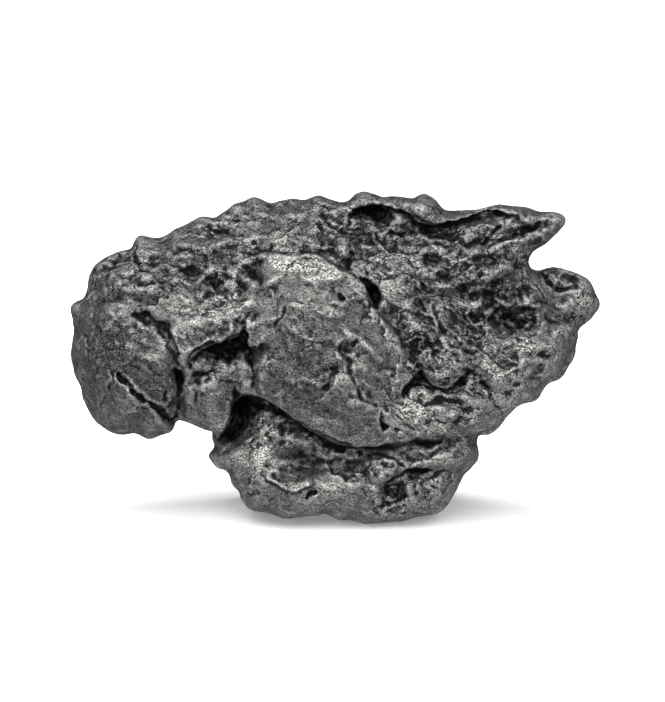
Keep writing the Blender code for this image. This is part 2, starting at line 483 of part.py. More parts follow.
def work_foot(face):
    strap = [
        (4.2, 9.2), (4.7, 7.8), (5.6, 6.7), (6.6, 6.2), (8.4, 7.2), (10.0, 7.9), (12.0, 8.3), (16.0, 8.7),
        (19.5, 8.2), (21.2, 9.6), (21.0, 12.4), (19.6, 13.2), (18.2, 12.2), (16.6, 11.4), (14.5, 10.4), (12.4, 9.6),
        (10.6, 9.0), (9.4, 9.6), (8.0, 10.3), (6.0, 10.4),
    ]  # fmt: skip
    face.patch(strap, 2.0)
    face.ridge([(6.8, 5.4), (9.2, 6.6), (12.4, 7.2), (16.4, 7.6)], 0.7, -1.3)
    face.dome(-4.4, 9.3, 5.6, 1.9, -1.7)
    face.ridge([(-10.8, 7.2), (-9.2, 6.2), (-6.8, 5.4), (-4.6, 5.9), (-2.6, 7.0)], 0.8, 0.8)
    face.dome(-3.6, 4.5, 1.0, 0.8, -0.9)
    face.dome(2.6, 8.2, 1.8, 2.2, -1.6)
    face.dome(8.8, 4.2, 2.5, 2.6, -1.8)
    face.dome(9.3, 3.0, 1.4, 0.8, 0.9)
    face.ridge([(11.5, 2.4), (11.4, 4.6), (11.4, 7.0)], 0.7, 0.8)
    face.ridge([(15.4, 4.4), (15.6, 6.0), (15.5, 7.8)], 0.7, 0.7)
    face.dome(13.5, 5.0, 1.3, 1.9, -0.9)
    face.ridge([(5.4, 4.0), (5.7, 5.4), (5.5, 6.6)], 0.6, 0.7)
    face.ledge([(-5.0, 12.6), (-7.2, 13.1), (-9.8, 14.1), (-12.8, 14.1)], lip=0.5, drop=0.8)
    face.dome(-12.0, 9.6, 2.2, 3.0, 0.6)
    face.ridge([(-1.6, 4.1), (-0.4, 4.4), (0.8, 4.3)], 0.6, 0.5)


def work_back(face):
    """The hidden face has broad thumb-shaped hollows between ridges, with some ledges and pits."""
    hollows = (
        (-29.0, 34.0, 6.5, 5.0, 20), (-30.0, 22.5, 5.5, 5.5, 0), (-17.0, 38.5, 6.5, 5.0, 10),
        (-14.0, 27.0, 7.0, 5.0, -15), (-1.5, 37.5, 6.5, 5.5, 0), (3.0, 25.0, 7.0, 5.0, 15),
        (14.0, 36.0, 6.5, 5.5, -20), (18.0, 23.5, 6.5, 5.0, 10), (27.0, 33.0, 5.0, 5.0, 0),
        (-3.0, 13.5, 6.5, 4.0, 0), (11.0, 12.0, 5.5, 4.5, 20), (28.5, 23.0, 4.0, 3.5, 0),
        (8.0, 45.0, 5.0, 2.4, 5), (-20.0, 18.5, 4.0, 3.5, 0),
    )  # fmt: skip
    for x, z, wide, tall, turn in hollows:
        face.dome(x, z, wide, tall, -2.2, turn)
    face.ledge([(-36.0, 27.5), (-29.0, 28.3), (-22.0, 31.5), (-15.0, 32.5)], lip=0.7, drop=1.4)
    face.ledge([(-8.0, 31.0), (0.0, 30.6), (7.0, 32.0), (13.0, 29.0), (20.0, 28.6)], lip=0.7, drop=1.5)
    face.ledge([(-13.0, 20.0), (-6.0, 18.4), (2.0, 17.6), (9.0, 18.0), (15.0, 16.4)], lip=0.7, drop=1.5)
    face.ledge([(8.0, 41.5), (14.0, 42.0), (22.0, 40.0), (30.0, 41.0)], lip=0.6, drop=1.2)
    face.ridge([(-24.0, 44.0), (-23.0, 38.0), (-22.0, 33.5), (-22.5, 26.0), (-25.0, 19.0)], 1.0, 0.8)
    face.ridge([(21.5, 39.0), (21.5, 33.0), (23.0, 28.0), (24.0, 21.0)], 0.9, 0.8)
    face.ridge([(-8.5, 44.0), (-8.0, 38.0), (-6.5, 33.0)], 0.9, 0.7)
    for x, z, size in (
        (-33.0, 29.5, 1.3), (-25.0, 27.0, 1.1), (-9.0, 22.0, 1.4), (-4.0, 28.4, 1.2), (8.5, 28.0, 1.3),
        (22.5, 35.0, 1.2), (9.0, 40.0, 1.3), (-12.0, 44.0, 1.3), (0.0, 20.6, 1.1), (13.0, 19.0, 1.3),
        (-22.0, 40.5, 1.2), (24.0, 26.0, 1.1), (4.0, 9.0, 1.1), (-8.0, 9.0, 1.2),
    ):  # fmt: skip
        face.dome(x, z, size, size, -1.3)
    for x, z, wide, tall in (
        (-35.0, 31.5, 2.0, 2.6), (-9.0, 34.6, 2.0, 2.0), (10.0, 24.0, 2.2, 1.8), (19.0, 31.0, 2.2, 1.8),
        (-18.0, 23.0, 2.2, 1.8), (31.0, 28.0, 2.0, 2.4), (5.0, 14.5, 2.2, 1.6),
    ):  # fmt: skip
        face.dome(x, z, wide, tall, 1.1)


def roughen(obj, depth, size, seed):
    """Uneven lumps all over, pushed along the skin's own normals."""
    shift = Vector((seed, 2 * seed, 3 * seed))
    spots, heights = read(obj)
    raw = np.empty(len(heights) * 3, np.float32)
    obj.data.vertex_normals.foreach_get("vector", raw)
    normals = raw.reshape(-1, 3).astype(float)
    places = np.column_stack([spots[:, 0], -heights, spots[:, 1]]) / size
    amounts = np.array([noise.fractal(Vector(place) + shift, 0.8, 2.1, 3) for place in places]) * depth
    write(obj, spots + normals[:, [0, 2]] * amounts[:, None], heights - normals[:, 1] * amounts)


def join(objects, name):
    """One object from several, which a remesh then makes one skin."""
    shape = bmesh.new()
    for obj in objects:
        shape.from_mesh(obj.data)
        bpy.data.objects.remove(obj)
    mesh = bpy.data.meshes.new(name)
    shape.to_mesh(mesh)
    shape.free()
    whole = bpy.data.objects.new(name, mesh)
    bpy.context.scene.collection.objects.link(whole)
    return whole


def thin_out(obj, triangles):
    """Fewer triangles, most of them kept where the skin bends."""
    fewer = obj.modifiers.new("fewer", "DECIMATE")
    fewer.ratio = triangles / (2 * len(obj.data.polygons))
    apply_modifiers(obj)


def stand(obj):
    """Lean the stone back, cut it flat where it rests, and put the middle of its base plan at the origin."""
    lean = Matrix.Rotation(-LEAN, 4, "X")
    floor = lean @ Vector((0, -FLOOR_FRONT[1] * MM, FLOOR_FRONT[0] * MM))
    shape = bmesh.new()
    shape.from_mesh(obj.data)
    bmesh.ops.transform(shape, matrix=Matrix.Translation((0, 0, -floor.z)) @ lean, verts=shape.verts)
    cut = bmesh.ops.bisect_plane(
        shape, geom=shape.verts[:] + shape.edges[:] + shape.faces[:], plane_co=(0, 0, 0), plane_no=(0, 0, -1),
        dist=1e-7, clear_outer=True,
    )  # fmt: skip
    rim = [e for e in cut["geom_cut"] if isinstance(e, bmesh.types.BMEdge)]
    bmesh.ops.contextual_create(shape, geom=rim)
    bmesh.ops.triangulate(shape, faces=shape.faces)
    low = Vector([min(v.co[i] for v in shape.verts) for i in range(3)])
    high = Vector([max(v.co[i] for v in shape.verts) for i in range(3)])
    shift = Vector((-(low.x + high.x) / 2, -(low.y + high.y) / 2, 0))
    bmesh.ops.translate(shape, verts=shape.verts, vec=shift)
    shape.to_mesh(obj.data)
    shape.free()
    print("face frame origin at", [round(c / MM, 3) for c in shift - Vector((0, 0, floor.z))])
    print("size", [round(c / MM, 2) for c in high - low])


def meteoric_iron():
    iron = bpy.data.materials.new("meteoric_iron")
    iron.use_nodes = True
    shader = iron.node_tree.nodes["Principled BSDF"]
    shader.inputs["Base Color"].default_value = (0.22, 0.215, 0.205, 1)
    shader.inputs["Metallic"].default_value = 0.9
    shader.inputs["Roughness"].default_value = 0.45
    return iron


def main():
    for obj in list(bpy.data.objects):
        bpy.data.objects.remove(obj)
    masses = [
        mass("body", BODY_OUTLINE, face_through(BODY_FRONT), face_through(BODY_BACK), face_through(BODY_EDGE), 6.0),
        mass("foot", FOOT_OUTLINE, face_through(FOOT_FRONT), face_through(FOOT_BACK), face_through(FOOT_EDGE), 4.5, 4),
        mass("core", CORE_OUTLINE, level(-1), level(-10), level(-5), 3.0),
        mass("blade", BLADE_OUTLINE, level(8), level(0), level(4), 3.0),
        mass("knob", KNOB_OUTLINE, level(3.5), level(-6), level(-1), 3.5),
        mass("under", UNDER_OUTLINE, level(1), level(-7), level(-3), 3.0),
    ]
    stone = join(masses, "meteorite")
    remesh(stone, BODY_VOXEL, smoothing=2)
    front = Face(stone, 1)
    work_left_lobe(front)
    work_fang_plate(front)
    work_centre(front)
    work_top(front)
    work_upper_left(front)
    work_right(front)
    work_knob(front)
    work_foot(front)
    front.finish()
    back = Face(stone, -1)
    work_back(back)
    back.finish()
    roughen(stone, depth=0.35, size=6.0, seed=7)
    remesh(stone, BODY_VOXEL, smoothing=1)
    thin_out(stone, TRIANGLES)
    stand(stone)
    stone.data.materials.append(meteoric_iron())


main()
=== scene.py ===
"""The looks of an iron meteorite: its skin of cracks, lips and ridges, its metal, and a pale studio."""

import math

import bpy
import numpy as np
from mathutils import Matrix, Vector


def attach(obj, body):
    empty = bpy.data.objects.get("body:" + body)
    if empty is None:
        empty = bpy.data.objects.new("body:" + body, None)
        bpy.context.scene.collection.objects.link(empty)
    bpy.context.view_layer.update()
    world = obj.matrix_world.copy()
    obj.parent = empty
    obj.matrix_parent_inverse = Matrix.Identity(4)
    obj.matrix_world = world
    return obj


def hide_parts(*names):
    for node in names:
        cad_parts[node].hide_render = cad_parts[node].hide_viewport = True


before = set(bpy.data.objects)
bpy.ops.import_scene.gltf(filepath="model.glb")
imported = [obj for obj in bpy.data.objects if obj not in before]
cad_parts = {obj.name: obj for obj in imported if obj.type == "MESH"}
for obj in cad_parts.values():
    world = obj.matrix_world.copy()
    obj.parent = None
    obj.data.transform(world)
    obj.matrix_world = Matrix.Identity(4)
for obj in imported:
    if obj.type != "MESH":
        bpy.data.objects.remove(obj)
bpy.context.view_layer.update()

# The stone leans back on its foot. On its broad face, u runs right, v up the face and w out towards the
# viewer, in millimetres from FACE_ORIGIN. All strokes below are drawn in u and v.
MM = 0.001
LEAN = math.radians(15.0)
FACE_ORIGIN = np.array([0.132, -6.618, -1.035])
RIGHT = np.array([1.0, 0.0, 0.0])
UP = np.array([0.0, math.sin(LEAN), math.cos(LEAN)])
OUT = np.array([0.0, -math.cos(LEAN), math.sin(LEAN)])
TO_FACE = np.array([RIGHT, UP, OUT]).T

# The skin's forms are drawn out along a line falling gently to the right.
FALL = math.radians(-18.0)
ALONG = np.array([math.cos(FALL), math.sin(FALL), 0.0])
FLOW = np.eye(3) - 0.34 * np.outer(ALONG, ALONG)

# In millimetres, but for the last.
SOFT_VOXEL = 0.35
FINE_VOXEL = 0.22
FLAT_HEIGHT = 0.35  # the foot's flat stays untouched below this
RESTING_HEIGHT = 0.12  # what ends up lower than this lies on the floor
SWELL = 0.12  # makes up for what the first softening takes off
TRIANGLES = 196000

# What the metal reads as relief: (rounds of softening it is measured from, millimetres from flat to full).
RELIEFS = {"fine_relief": (4, 0.17), "broad_relief": (90, 1.8)}

# Cuts: (depth, [(u, v, half width), ...]).
CRACKS = [
    # between the right end and its knob
    (.6, [(30.2, 33.6, .1), (31.4, 32.8, .15), (32.6, 32.6, .15), (34, 31.8, .12)]),
    (.6, [(29.2, 36.4, .1), (30.2, 35.6, .15), (31, 34.6, .15), (31.4, 33.6, .1)]),
    (.5, [(36.9, 35, .1), (37.1, 34, .15), (36.7, 32.8, .12)]),
    # left lobe
    (1.3, [(-32.4, 23.1, .12), (-32.3, 22.5, .3), (-31.9, 21.8, .34), (-30.9, 21, .26), (-30.3, 20.3, .38),
           (-29.4, 19.6, .36), (-28.8, 18.8, .45), (-27.8, 18.1, .3), (-26.8, 17.6, .4), (-26.2, 17.1, .6),
           (-25.6, 16.2, .5), (-24.8, 15.7, .35), (-24, 15.8, .35)]),
    (1.5, [(-24.3, 23.5, .12), (-23.7, 23, .35), (-23.4, 22.3, .5), (-23.2, 21.5, .55), (-23.3, 20.4, .3),
           (-23.4, 19.4, .25), (-23.3, 18.4, .12), (-23.7, 17, .28), (-23.8, 16.3, .3)]),
    (.8, [(-37.9, 28.5, .12), (-37.5, 27.9, .25), (-37.1, 27.2, .25), (-36.6, 26.6, .15)]),
    (.5, [(-36.2, 30.2, .08), (-35.7, 29.7, .15), (-35.3, 29.3, .1)]),
    (.5, [(-35, 26.6, .08), (-34.4, 26.9, .14), (-34, 27.3, .14), (-33.5, 27.9, .06)]),
    (.6, [(-28.8, 18.2, .2), (-29.2, 17.6, .18), (-29.6, 17.1, .1)]),
    (.5, [(-32.2, 16.3, .08), (-31.5, 16, .15), (-30.8, 16.2, .08)]),
    (.5, [(-31, 14.8, .1), (-30.5, 14.4, .15), (-29.8, 14, .1)]),
    (.5, [(-25.4, 14, .08), (-24.8, 14.3, .12), (-23.9, 14.6, .12)]),
    (.35, [(-28.9, 20.9, .08), (-28.6, 21.2, .12), (-28, 21.4, .06)]),
    (1.3, [(-15.1, 20, .2), (-14.4, 18.6, .5), (-14, 16.7, .6), (-14.5, 14.8, .6), (-15.8, 13.3, .45),
           (-17.3, 12.5, .3)]),
    (.4, [(-26.7, 20.3, .15), (-26.2, 20.2, .1), (-25.7, 20.6, .08)]),
    (.7, [(-25.3, 19.8, .15), (-25.2, 18.9, .3), (-24.8, 18.2, .12)]),
    (.6, [(-22.6, 20.4, .1), (-21.8, 20.6, .14), (-21, 21, .12)]),
    (.7, [(-21, 20.5, .14), (-20.8, 19.4, .25), (-20.9, 18.4, .12), (-20.8, 17.4, .06)]),
    (.3, [(-28.9, 31.2, .1), (-27.8, 30.2, .12), (-26.6, 29, .12)]),
    (.3, [(-26.9, 30.2, .1), (-25.7, 29.3, .12), (-25, 28.6, .1)]),
    # upper left
    (.4, [(-28.3, 42.6, .1), (-28.5, 42, .14), (-28.6, 41.4, .1)]),
    (.9, [(-29.9, 41.8, .15), (-30, 40.4, .3), (-29.7, 39.4, .3), (-29.2, 38.6, .3), (-28.6, 37.8, .3),
          (-27.7, 37.2, .2)]),
    (.9, [(-7.2, 32.8, .1), (-7.7, 31.8, .25), (-8.1, 30.9, .2), (-8.8, 30, .3), (-9.2, 29.2, .12)]),
    (.5, [(-12.7, 42.4, .1), (-12.3, 42, .25), (-11.8, 42.1, .1)]),
    (.5, [(-9.7, 42.1, .1), (-9.7, 41.5, .2), (-9.7, 40.9, .1)]),
    (.9, [(-14.5, 30.1, .1), (-13.8, 30, .25), (-13.3, 30.8, .25), (-13.1, 31.6, .15)]),
    (.3, [(-6.6, 35.9, .1), (-6.2, 36.2, .15), (-6, 36.5, .08)]),
    # beside the pendant lip
    (.9, [(-12.7, 25.6, .2), (-12.5, 24.5, .3), (-12.4, 23.4, .2), (-12.3, 22, .3), (-12.1, 21, .3),
          (-12.4, 20.2, .15)]),
    (.5, [(-10.4, 25.6, .1), (-10, 24.8, .25), (-10.2, 24.2, .1)]),
    (.4, [(-10.2, 19.2, .1), (-9.6, 19.3, .15), (-8.9, 19.2, .15), (-8.7, 19.7, .1)]),
    # centre mass
    (.7, [(-.05, 25.3, .08), (-.05, 24.2, .1), (0, 23.5, .15), (-.4, 23.3, .25), (.05, 22.9, .2),
          (-.3, 22.2, .25), (-.6, 21.8, .2), (-1, 20.9, .2), (-1.3, 20.4, .3), (-1.8, 19.8, .12),
          (-2.1, 19.3, .05)]),
    (.6, [(3.4, 27.8, .15), (2.6, 27, .25), (2.2, 26.9, .12), (2.5, 26.2, .12), (2.9, 25.4, .2),
          (3.4, 24.8, .1)]),
    (.7, [(.9, 26.9, .15), (.5, 26.1, .2), (.9, 25.4, .18), (1.5, 24.8, .2), (2, 24.2, .25),
          (1.9, 23.4, .3), (2.3, 22.8, .3), (2.6, 22.2, .2), (2.8, 21.2, .2), (3.1, 20.3, .2),
          (3.4, 19.5, .4), (3.9, 18.9, .35), (4.7, 18.4, .15), (5.6, 18, .25), (5.9, 17.5, .12)]),
    (.8, [(6.6, 16.7, .15), (6.9, 16.2, .2), (7.1, 15.4, .3), (7.2, 14.7, .4), (6.9, 14.2, .2)]),
    (.6, [(7.1, 14.8, .3), (7.8, 14.7, .2)]),
    (.5, [(7.4, 18, .1), (7.7, 17.2, .3), (7.8, 16.8, .15)]),
    (.6, [(5.4, 15.9, .1), (5.7, 15.5, .25), (6, 15.4, .1)]),
    (.4, [(4.3, 14.7, .1), (4.8, 14.7, .15)]),
    (.7, [(8.3, 14.1, .15), (9, 14.2, .2), (9.4, 13.6, .35), (9.3, 13.2, .15)]),
    (.5, [(8.1, 22.6, .12), (8.5, 22.2, .25), (9, 21.7, .12)]),
    (.3, [(6.6, 24.2, .1), (6.9, 24.1, .12)]),
    (.3, [(1.9, 19.6, .12), (2.2, 19.1, .2), (2.8, 18.9, .1)]),
    (.3, [(-1.4, 19.2, .06), (-.9, 19.5, .12), (-.5, 19.4, .06)]),
    (.3, [(-.6, 14.1, .06), (.3, 14.3, .12), (1, 14.8, .1), (1.3, 15.2, .05)]),
    # top
    (.8, [(-1.3, 46.8, .12), (-1.5, 45.9, .15), (-1.4, 45.1, .15), (-.8, 44.6, .3), (0, 44.3, .2),
          (.9, 44, .2), (1.6, 43.7, .25)]),
    (.8, [(1.6, 43.7, .15), (2, 44.6, .25), (2.2, 45.4, .2), (2.1, 46.2, .2)]),
    (.7, [(2.1, 41.8, .1), (2.4, 41, .15), (2.7, 40.2, .25), (2.9, 39.4, .15), (3.3, 39, .1)]),
    (.6, [(4.3, 38.7, .1), (4.8, 37.7, .2), (5, 36.8, .2)]),
    (.7, [(.6, 34.3, .2), (.7, 33.6, .3), (.9, 33.2, .12)]),
    (.5, [(-.7, 32.6, .15), (0, 32.5, .3), (.8, 32.6, .12)]),
    (.6, [(-1, 42.9, .1), (-.6, 43.5, .3), (.1, 43.3, .1)]),
    # right of the centre mass
    (.9, [(20.4, 19.6, .15), (21.5, 19.5, .25), (22.6, 19.2, .25), (23.6, 18.6, .2), (24.4, 17.8, .15),
          (25.2, 17.1, .12)]),
    (.6, [(21.6, 21.6, .3), (22.6, 20.8, .4), (23.4, 19.8, .35), (24, 18.9, .15)]),
    (.6, [(18.4, 16.2, .1), (19.2, 16.1, .2), (20, 16, .2), (20.8, 16.1, .12)]),
    (.3, [(10, 14.6, .08), (11.2, 14.3, .12), (12.2, 14, .08), (13.6, 13.5, .05)]),
    (.7, [(19, 27.9, .15), (19.8, 27.3, .2), (21, 27.2, .15), (21.7, 27.2, .12)]),
    (.6, [(12.9, 36.4, .12), (13.1, 35.6, .25), (13.3, 34.9, .2), (13.8, 34.2, .12)]),
    (.5, [(12, 36.8, .1), (12.1, 35.6, .25), (12.3, 34.9, .15)]),
    (.9, [(14, 33.6, .1), (14.6, 32, .12), (15, 31, .2), (15.8, 29.8, .45), (16.4, 29.2, .35),
          (16.9, 28.9, .15)]),
    # blade
    (.8, [(21.4, 41.4, .12), (22.2, 42, .2), (23, 42.9, .25), (23.8, 43.9, .3), (24.4, 44.6, .3)]),
    (.9, [(22.8, 41.6, .12), (24, 42, .2), (25, 42.5, .25), (26.2, 43, .25), (27.6, 43.3, .2),
          (28.2, 43, .15)]),
    (.5, [(28.2, 43.6, .12), (29.4, 44.2, .15), (30.6, 45, .15), (31.8, 45.2, .15), (33, 45.2, .1)]),
    (.35, [(31.2, 45.9, .08), (32.2, 46.1, .12), (33.6, 46, .08)]),
    # right end and knob
    (.8, [(25.2, 24.2, .12), (26, 24.2, .3), (26.8, 24, .2), (27.6, 24.2, .1)]),
    (.5, [(26, 20.5, .1), (27, 20.9, .2), (27.8, 21.2, .15)]),
    (.5, [(33.1, 24.4, .1), (33.4, 23.8, .15), (33.7, 23.2, .1)]),
    (.5, [(36, 28.6, .08), (35.6, 27.6, .12), (35.1, 26.6, .12), (34.9, 25.4, .1), (34.6, 24, .08)]),
    (.8, [(30.3, 38.1, .12), (31, 37.4, .2), (32, 36.3, .2), (32.8, 35.4, .15), (33.6, 34.6, .2)]),
    (.7, [(33.2, 34.9, .2), (34.2, 35, .3), (35, 35.4, .3)]),
    (.5, [(35.3, 34.4, .12), (35.6, 33.4, .15), (36.2, 32.6, .12)]),
    (.4, [(37.4, 32.4, .1), (38, 33, .15), (38.6, 33, .1)]),
    (.7, [(31, 30.7, .1), (33, 30.7, .12), (35, 30.8, .15), (36.4, 31.3, .2), (36.8, 31, .1)]),
    # foot
    (.5, [(-9.5, 7.6, .1), (-8.9, 7.4, .25), (-8.4, 6.8, .2)]),
    (.7, [(-4.5, 3.5, .08), (-4.2, 3.9, .15), (-3.7, 4.5, .35), (-3, 4.7, .3), (-2.4, 5, .1)]),
    (.3, [(-13.8, 7, .06), (-13.7, 6.5, .1), (-13.8, 6.1, .06)]),
    (.7, [(4.2, 10.3, .12), (5.4, 10.4, .15), (6.8, 10.5, .18), (8.2, 10.4, .15), (9, 9.8, .2),
          (9.8, 9, .25), (10.4, 8.6, .2), (11.2, 8.8, .2), (11.8, 9.5, .12)]),
    (.8, [(7.4, 6.2, .15), (8.4, 6.8, .2), (9.6, 7.4, .25), (10.8, 7.8, .3), (12, 8.2, .3),
          (13.6, 8.4, .25), (15, 8.1, .15), (17, 7.9, .12)]),
    (.6, [(13.9, 10.2, .15), (14.5, 10.6, .3), (15.2, 11, .2), (16, 11.4, .12)]),
    (.5, [(11.6, 6.4, .15), (11.7, 5.4, .25), (12, 4.6, .15), (12.2, 3.8, .12), (12, 2.8, .15)]),
    (.4, [(16.3, 7.6, .1), (16.4, 6.6, .15), (16.6, 6, .08)]),
]

# Sunken areas with steep walls, or raised plates where the depth is below zero: (depth, outline). The sunken
# ones are also darkened with painted shade.
HOLLOWS = [
    (1, [(32.8, 35.4), (33.6, 36.8), (34.6, 37.8), (35.6, 37.5), (36.6, 36.3), (36.1, 35.4), (35.2, 35),
         (34.4, 34.6), (33.6, 34.4)]),
    (1.1, [(13, 44.3), (17, 45), (20.6, 45.9), (24, 46.5), (27, 46), (28.4, 44.9), (30, 44.6), (28.6, 43.6),
           (25, 42.9), (22.6, 41.9), (20, 41.6), (17, 42.4), (14, 42.9)]),
    (.9, [(-30.1, 31.4), (-29.8, 31.7), (-28.5, 31.6), (-27.7, 31.8), (-27.5, 31), (-26.6, 30.6),
          (-25.8, 30.8), (-25, 30.2), (-24.7, 29.2), (-24.3, 28.2), (-24.6, 27), (-24.4, 26), (-23.9, 25.2),
          (-24.4, 25.4), (-24.9, 26.2), (-24.9, 27.6), (-26, 28.1), (-27, 28.9), (-28.2, 29.8)]),
    (1.2, [(-21.8, 25), (-21.3, 25.8), (-20.3, 26.5), (-19, 27), (-17.6, 27.6), (-16.4, 28.2), (-15, 28.3),
           (-14.3, 28.8), (-13.8, 29.6), (-13.2, 29.4), (-13, 28), (-12.9, 26.6), (-12.2, 26), (-12.4, 25),
           (-12.7, 23.2), (-13.2, 24.8), (-14, 26), (-14.9, 24.9), (-15.6, 24.2), (-15.9, 23.2),
           (-16.5, 24.6), (-17.6, 24.7), (-18.2, 25.4), (-19.6, 26), (-20.8, 25.6)]),
    (.7, [(-21, 23.1), (-19, 23.05), (-18.3, 23.2), (-18.6, 22.5), (-19.4, 22.1), (-20, 21.9), (-20.2, 21),
          (-20.9, 20.9), (-21.1, 22)]),
    (1.5, [(-15.1, 20.4), (-14.6, 19.7), (-13.8, 18.9), (-13, 18.7), (-13, 17.4), (-12.9, 16.2),
           (-13.2, 14.8), (-13.9, 13.9), (-14.6, 13), (-15.6, 12.6), (-17, 12.4), (-18, 12.6),
           (-18.3, 13.6), (-17.3, 13.1), (-16.4, 13.2), (-16, 14.2), (-15.5, 15.6), (-15.4, 17.2),
           (-15.3, 18.8)]),
    (1.3, [(2.2, 46.3), (2.9, 47), (4.2, 47.4), (5.4, 47.8), (6.5, 47.6), (7.9, 47.2), (8.4, 46.4),
           (8.6, 45.6), (8.1, 45), (7.6, 44.4), (6.6, 44.4), (5.8, 44.9), (6.1, 45.6), (4.8, 46),
           (3.2, 46.1)]),
    (1.4, [(3.4, 36.8), (4.4, 36.6), (5.1, 36), (6.2, 35.4), (6.8, 34.6), (6.7, 33.4), (6.2, 32.5),
           (5.4, 32.2), (5, 32.7), (5.1, 33.9), (4.6, 35), (4, 35.6)]),
    (1, [(1.4, 39), (1.9, 39.4), (2.6, 39.4), (2.4, 38.6), (2.1, 38), (1.6, 38.3)]),
    (.9, [(-3.1, 41), (-2.2, 41.3), (-1, 41.2), (0, 41.1), (-.1, 40.6), (-.8, 40.3), (-2.4, 40.2),
          (-3, 40.6)]),
    (.6, [(12.2, 23), (12.9, 23), (13, 22.2), (13.8, 21.3), (14.8, 20.6), (16, 20.1), (17.3, 20.3),
          (18.1, 21.2), (19, 22.1), (20, 23), (20, 22.3), (19.4, 21.2), (18.6, 20.3), (17.6, 19.7),
          (16.2, 19.9), (14.8, 19.9), (14.2, 19.4), (13.4, 20.3), (12.6, 20.9), (11.6, 20.6), (10.5, 19.8),
          (10.2, 18.6), (10.1, 20.3), (10.8, 21.1), (12.1, 21.8)]),
    (.8, [(13.6, 18.6), (15, 19.2), (16.5, 18.8), (18.2, 18.8), (19, 18.3), (18.8, 17.6), (17.4, 18.1),
          (16, 18.1), (14.2, 17.6), (13.4, 16.4), (13, 16.6), (13, 17.6)]),
    (.5, [(12.8, 39.4), (13.4, 40.2), (14.6, 40.4), (15.6, 40), (16.6, 39.2), (17.2, 38.6), (16.6, 38.2),
          (15.6, 38.6), (15, 38.2), (14.2, 38.4), (13.2, 38.7)]),
    (.4, [(15.4, 37.8), (16.2, 38.3), (17, 38), (17.6, 37.4), (17.4, 36.6), (16.6, 36.4), (15.4, 36.8),
          (14.9, 37.2)]),
    (.2, [(20.2, 39.2), (20.9, 40), (22, 40.3), (23.4, 40), (24.6, 39.4), (24, 38.6), (22.4, 38.2),
          (20.8, 38)]),
    (-.4, [(19.2, 42.6), (19.6, 44), (21, 44.8), (22.6, 44.7), (24.4, 44.3), (23.4, 43), (22.2, 42),
           (20.4, 41.6)]),
    (.9, [(-1.8, 12.2), (-.6, 12.3), (1, 12.1), (1.5, 11.6), (1.3, 11.1), (.2, 11), (-.8, 11.2),
          (-1.6, 11.6)]),
    (-.5, [(4.2, 8.6), (4.6, 9.6), (5.6, 10.2), (7.2, 10.2), (8.6, 9.9), (9.6, 9.2), (10.2, 8.5),
           (11.2, 8.6), (12, 9.3), (13.4, 9.8), (15, 10.4), (17, 11.6), (18.4, 12.6), (20, 13), (21, 12.8),
           (21.5, 11), (21.3, 9.8), (19.6, 8), (16, 8.3), (12.6, 8.5), (10.4, 7.9), (8.6, 7.2), (7.6, 6.4),
           (6.6, 6.1), (5.8, 6.4), (5, 7.4)]),
    (.8, [(10.6, 7.3), (11.4, 8), (12.6, 8.4), (13.9, 8.4), (12.9, 7.8), (12, 7.2), (11.2, 7)]),
    (.8, [(11, 12.5), (12.4, 12.6), (14.4, 12.6), (15.9, 12.3), (15.4, 11.8), (14, 11.6), (12.8, 11.5),
          (12, 11.9)]),
    (.7, [(6.8, 2.4), (6.9, 3.6), (7.3, 5), (7.6, 6), (9, 6.4), (10.3, 6.6), (10.4, 5.4), (10.3, 4.3),
          (9.6, 3.8), (9, 3.2), (8, 2.8)]),
]

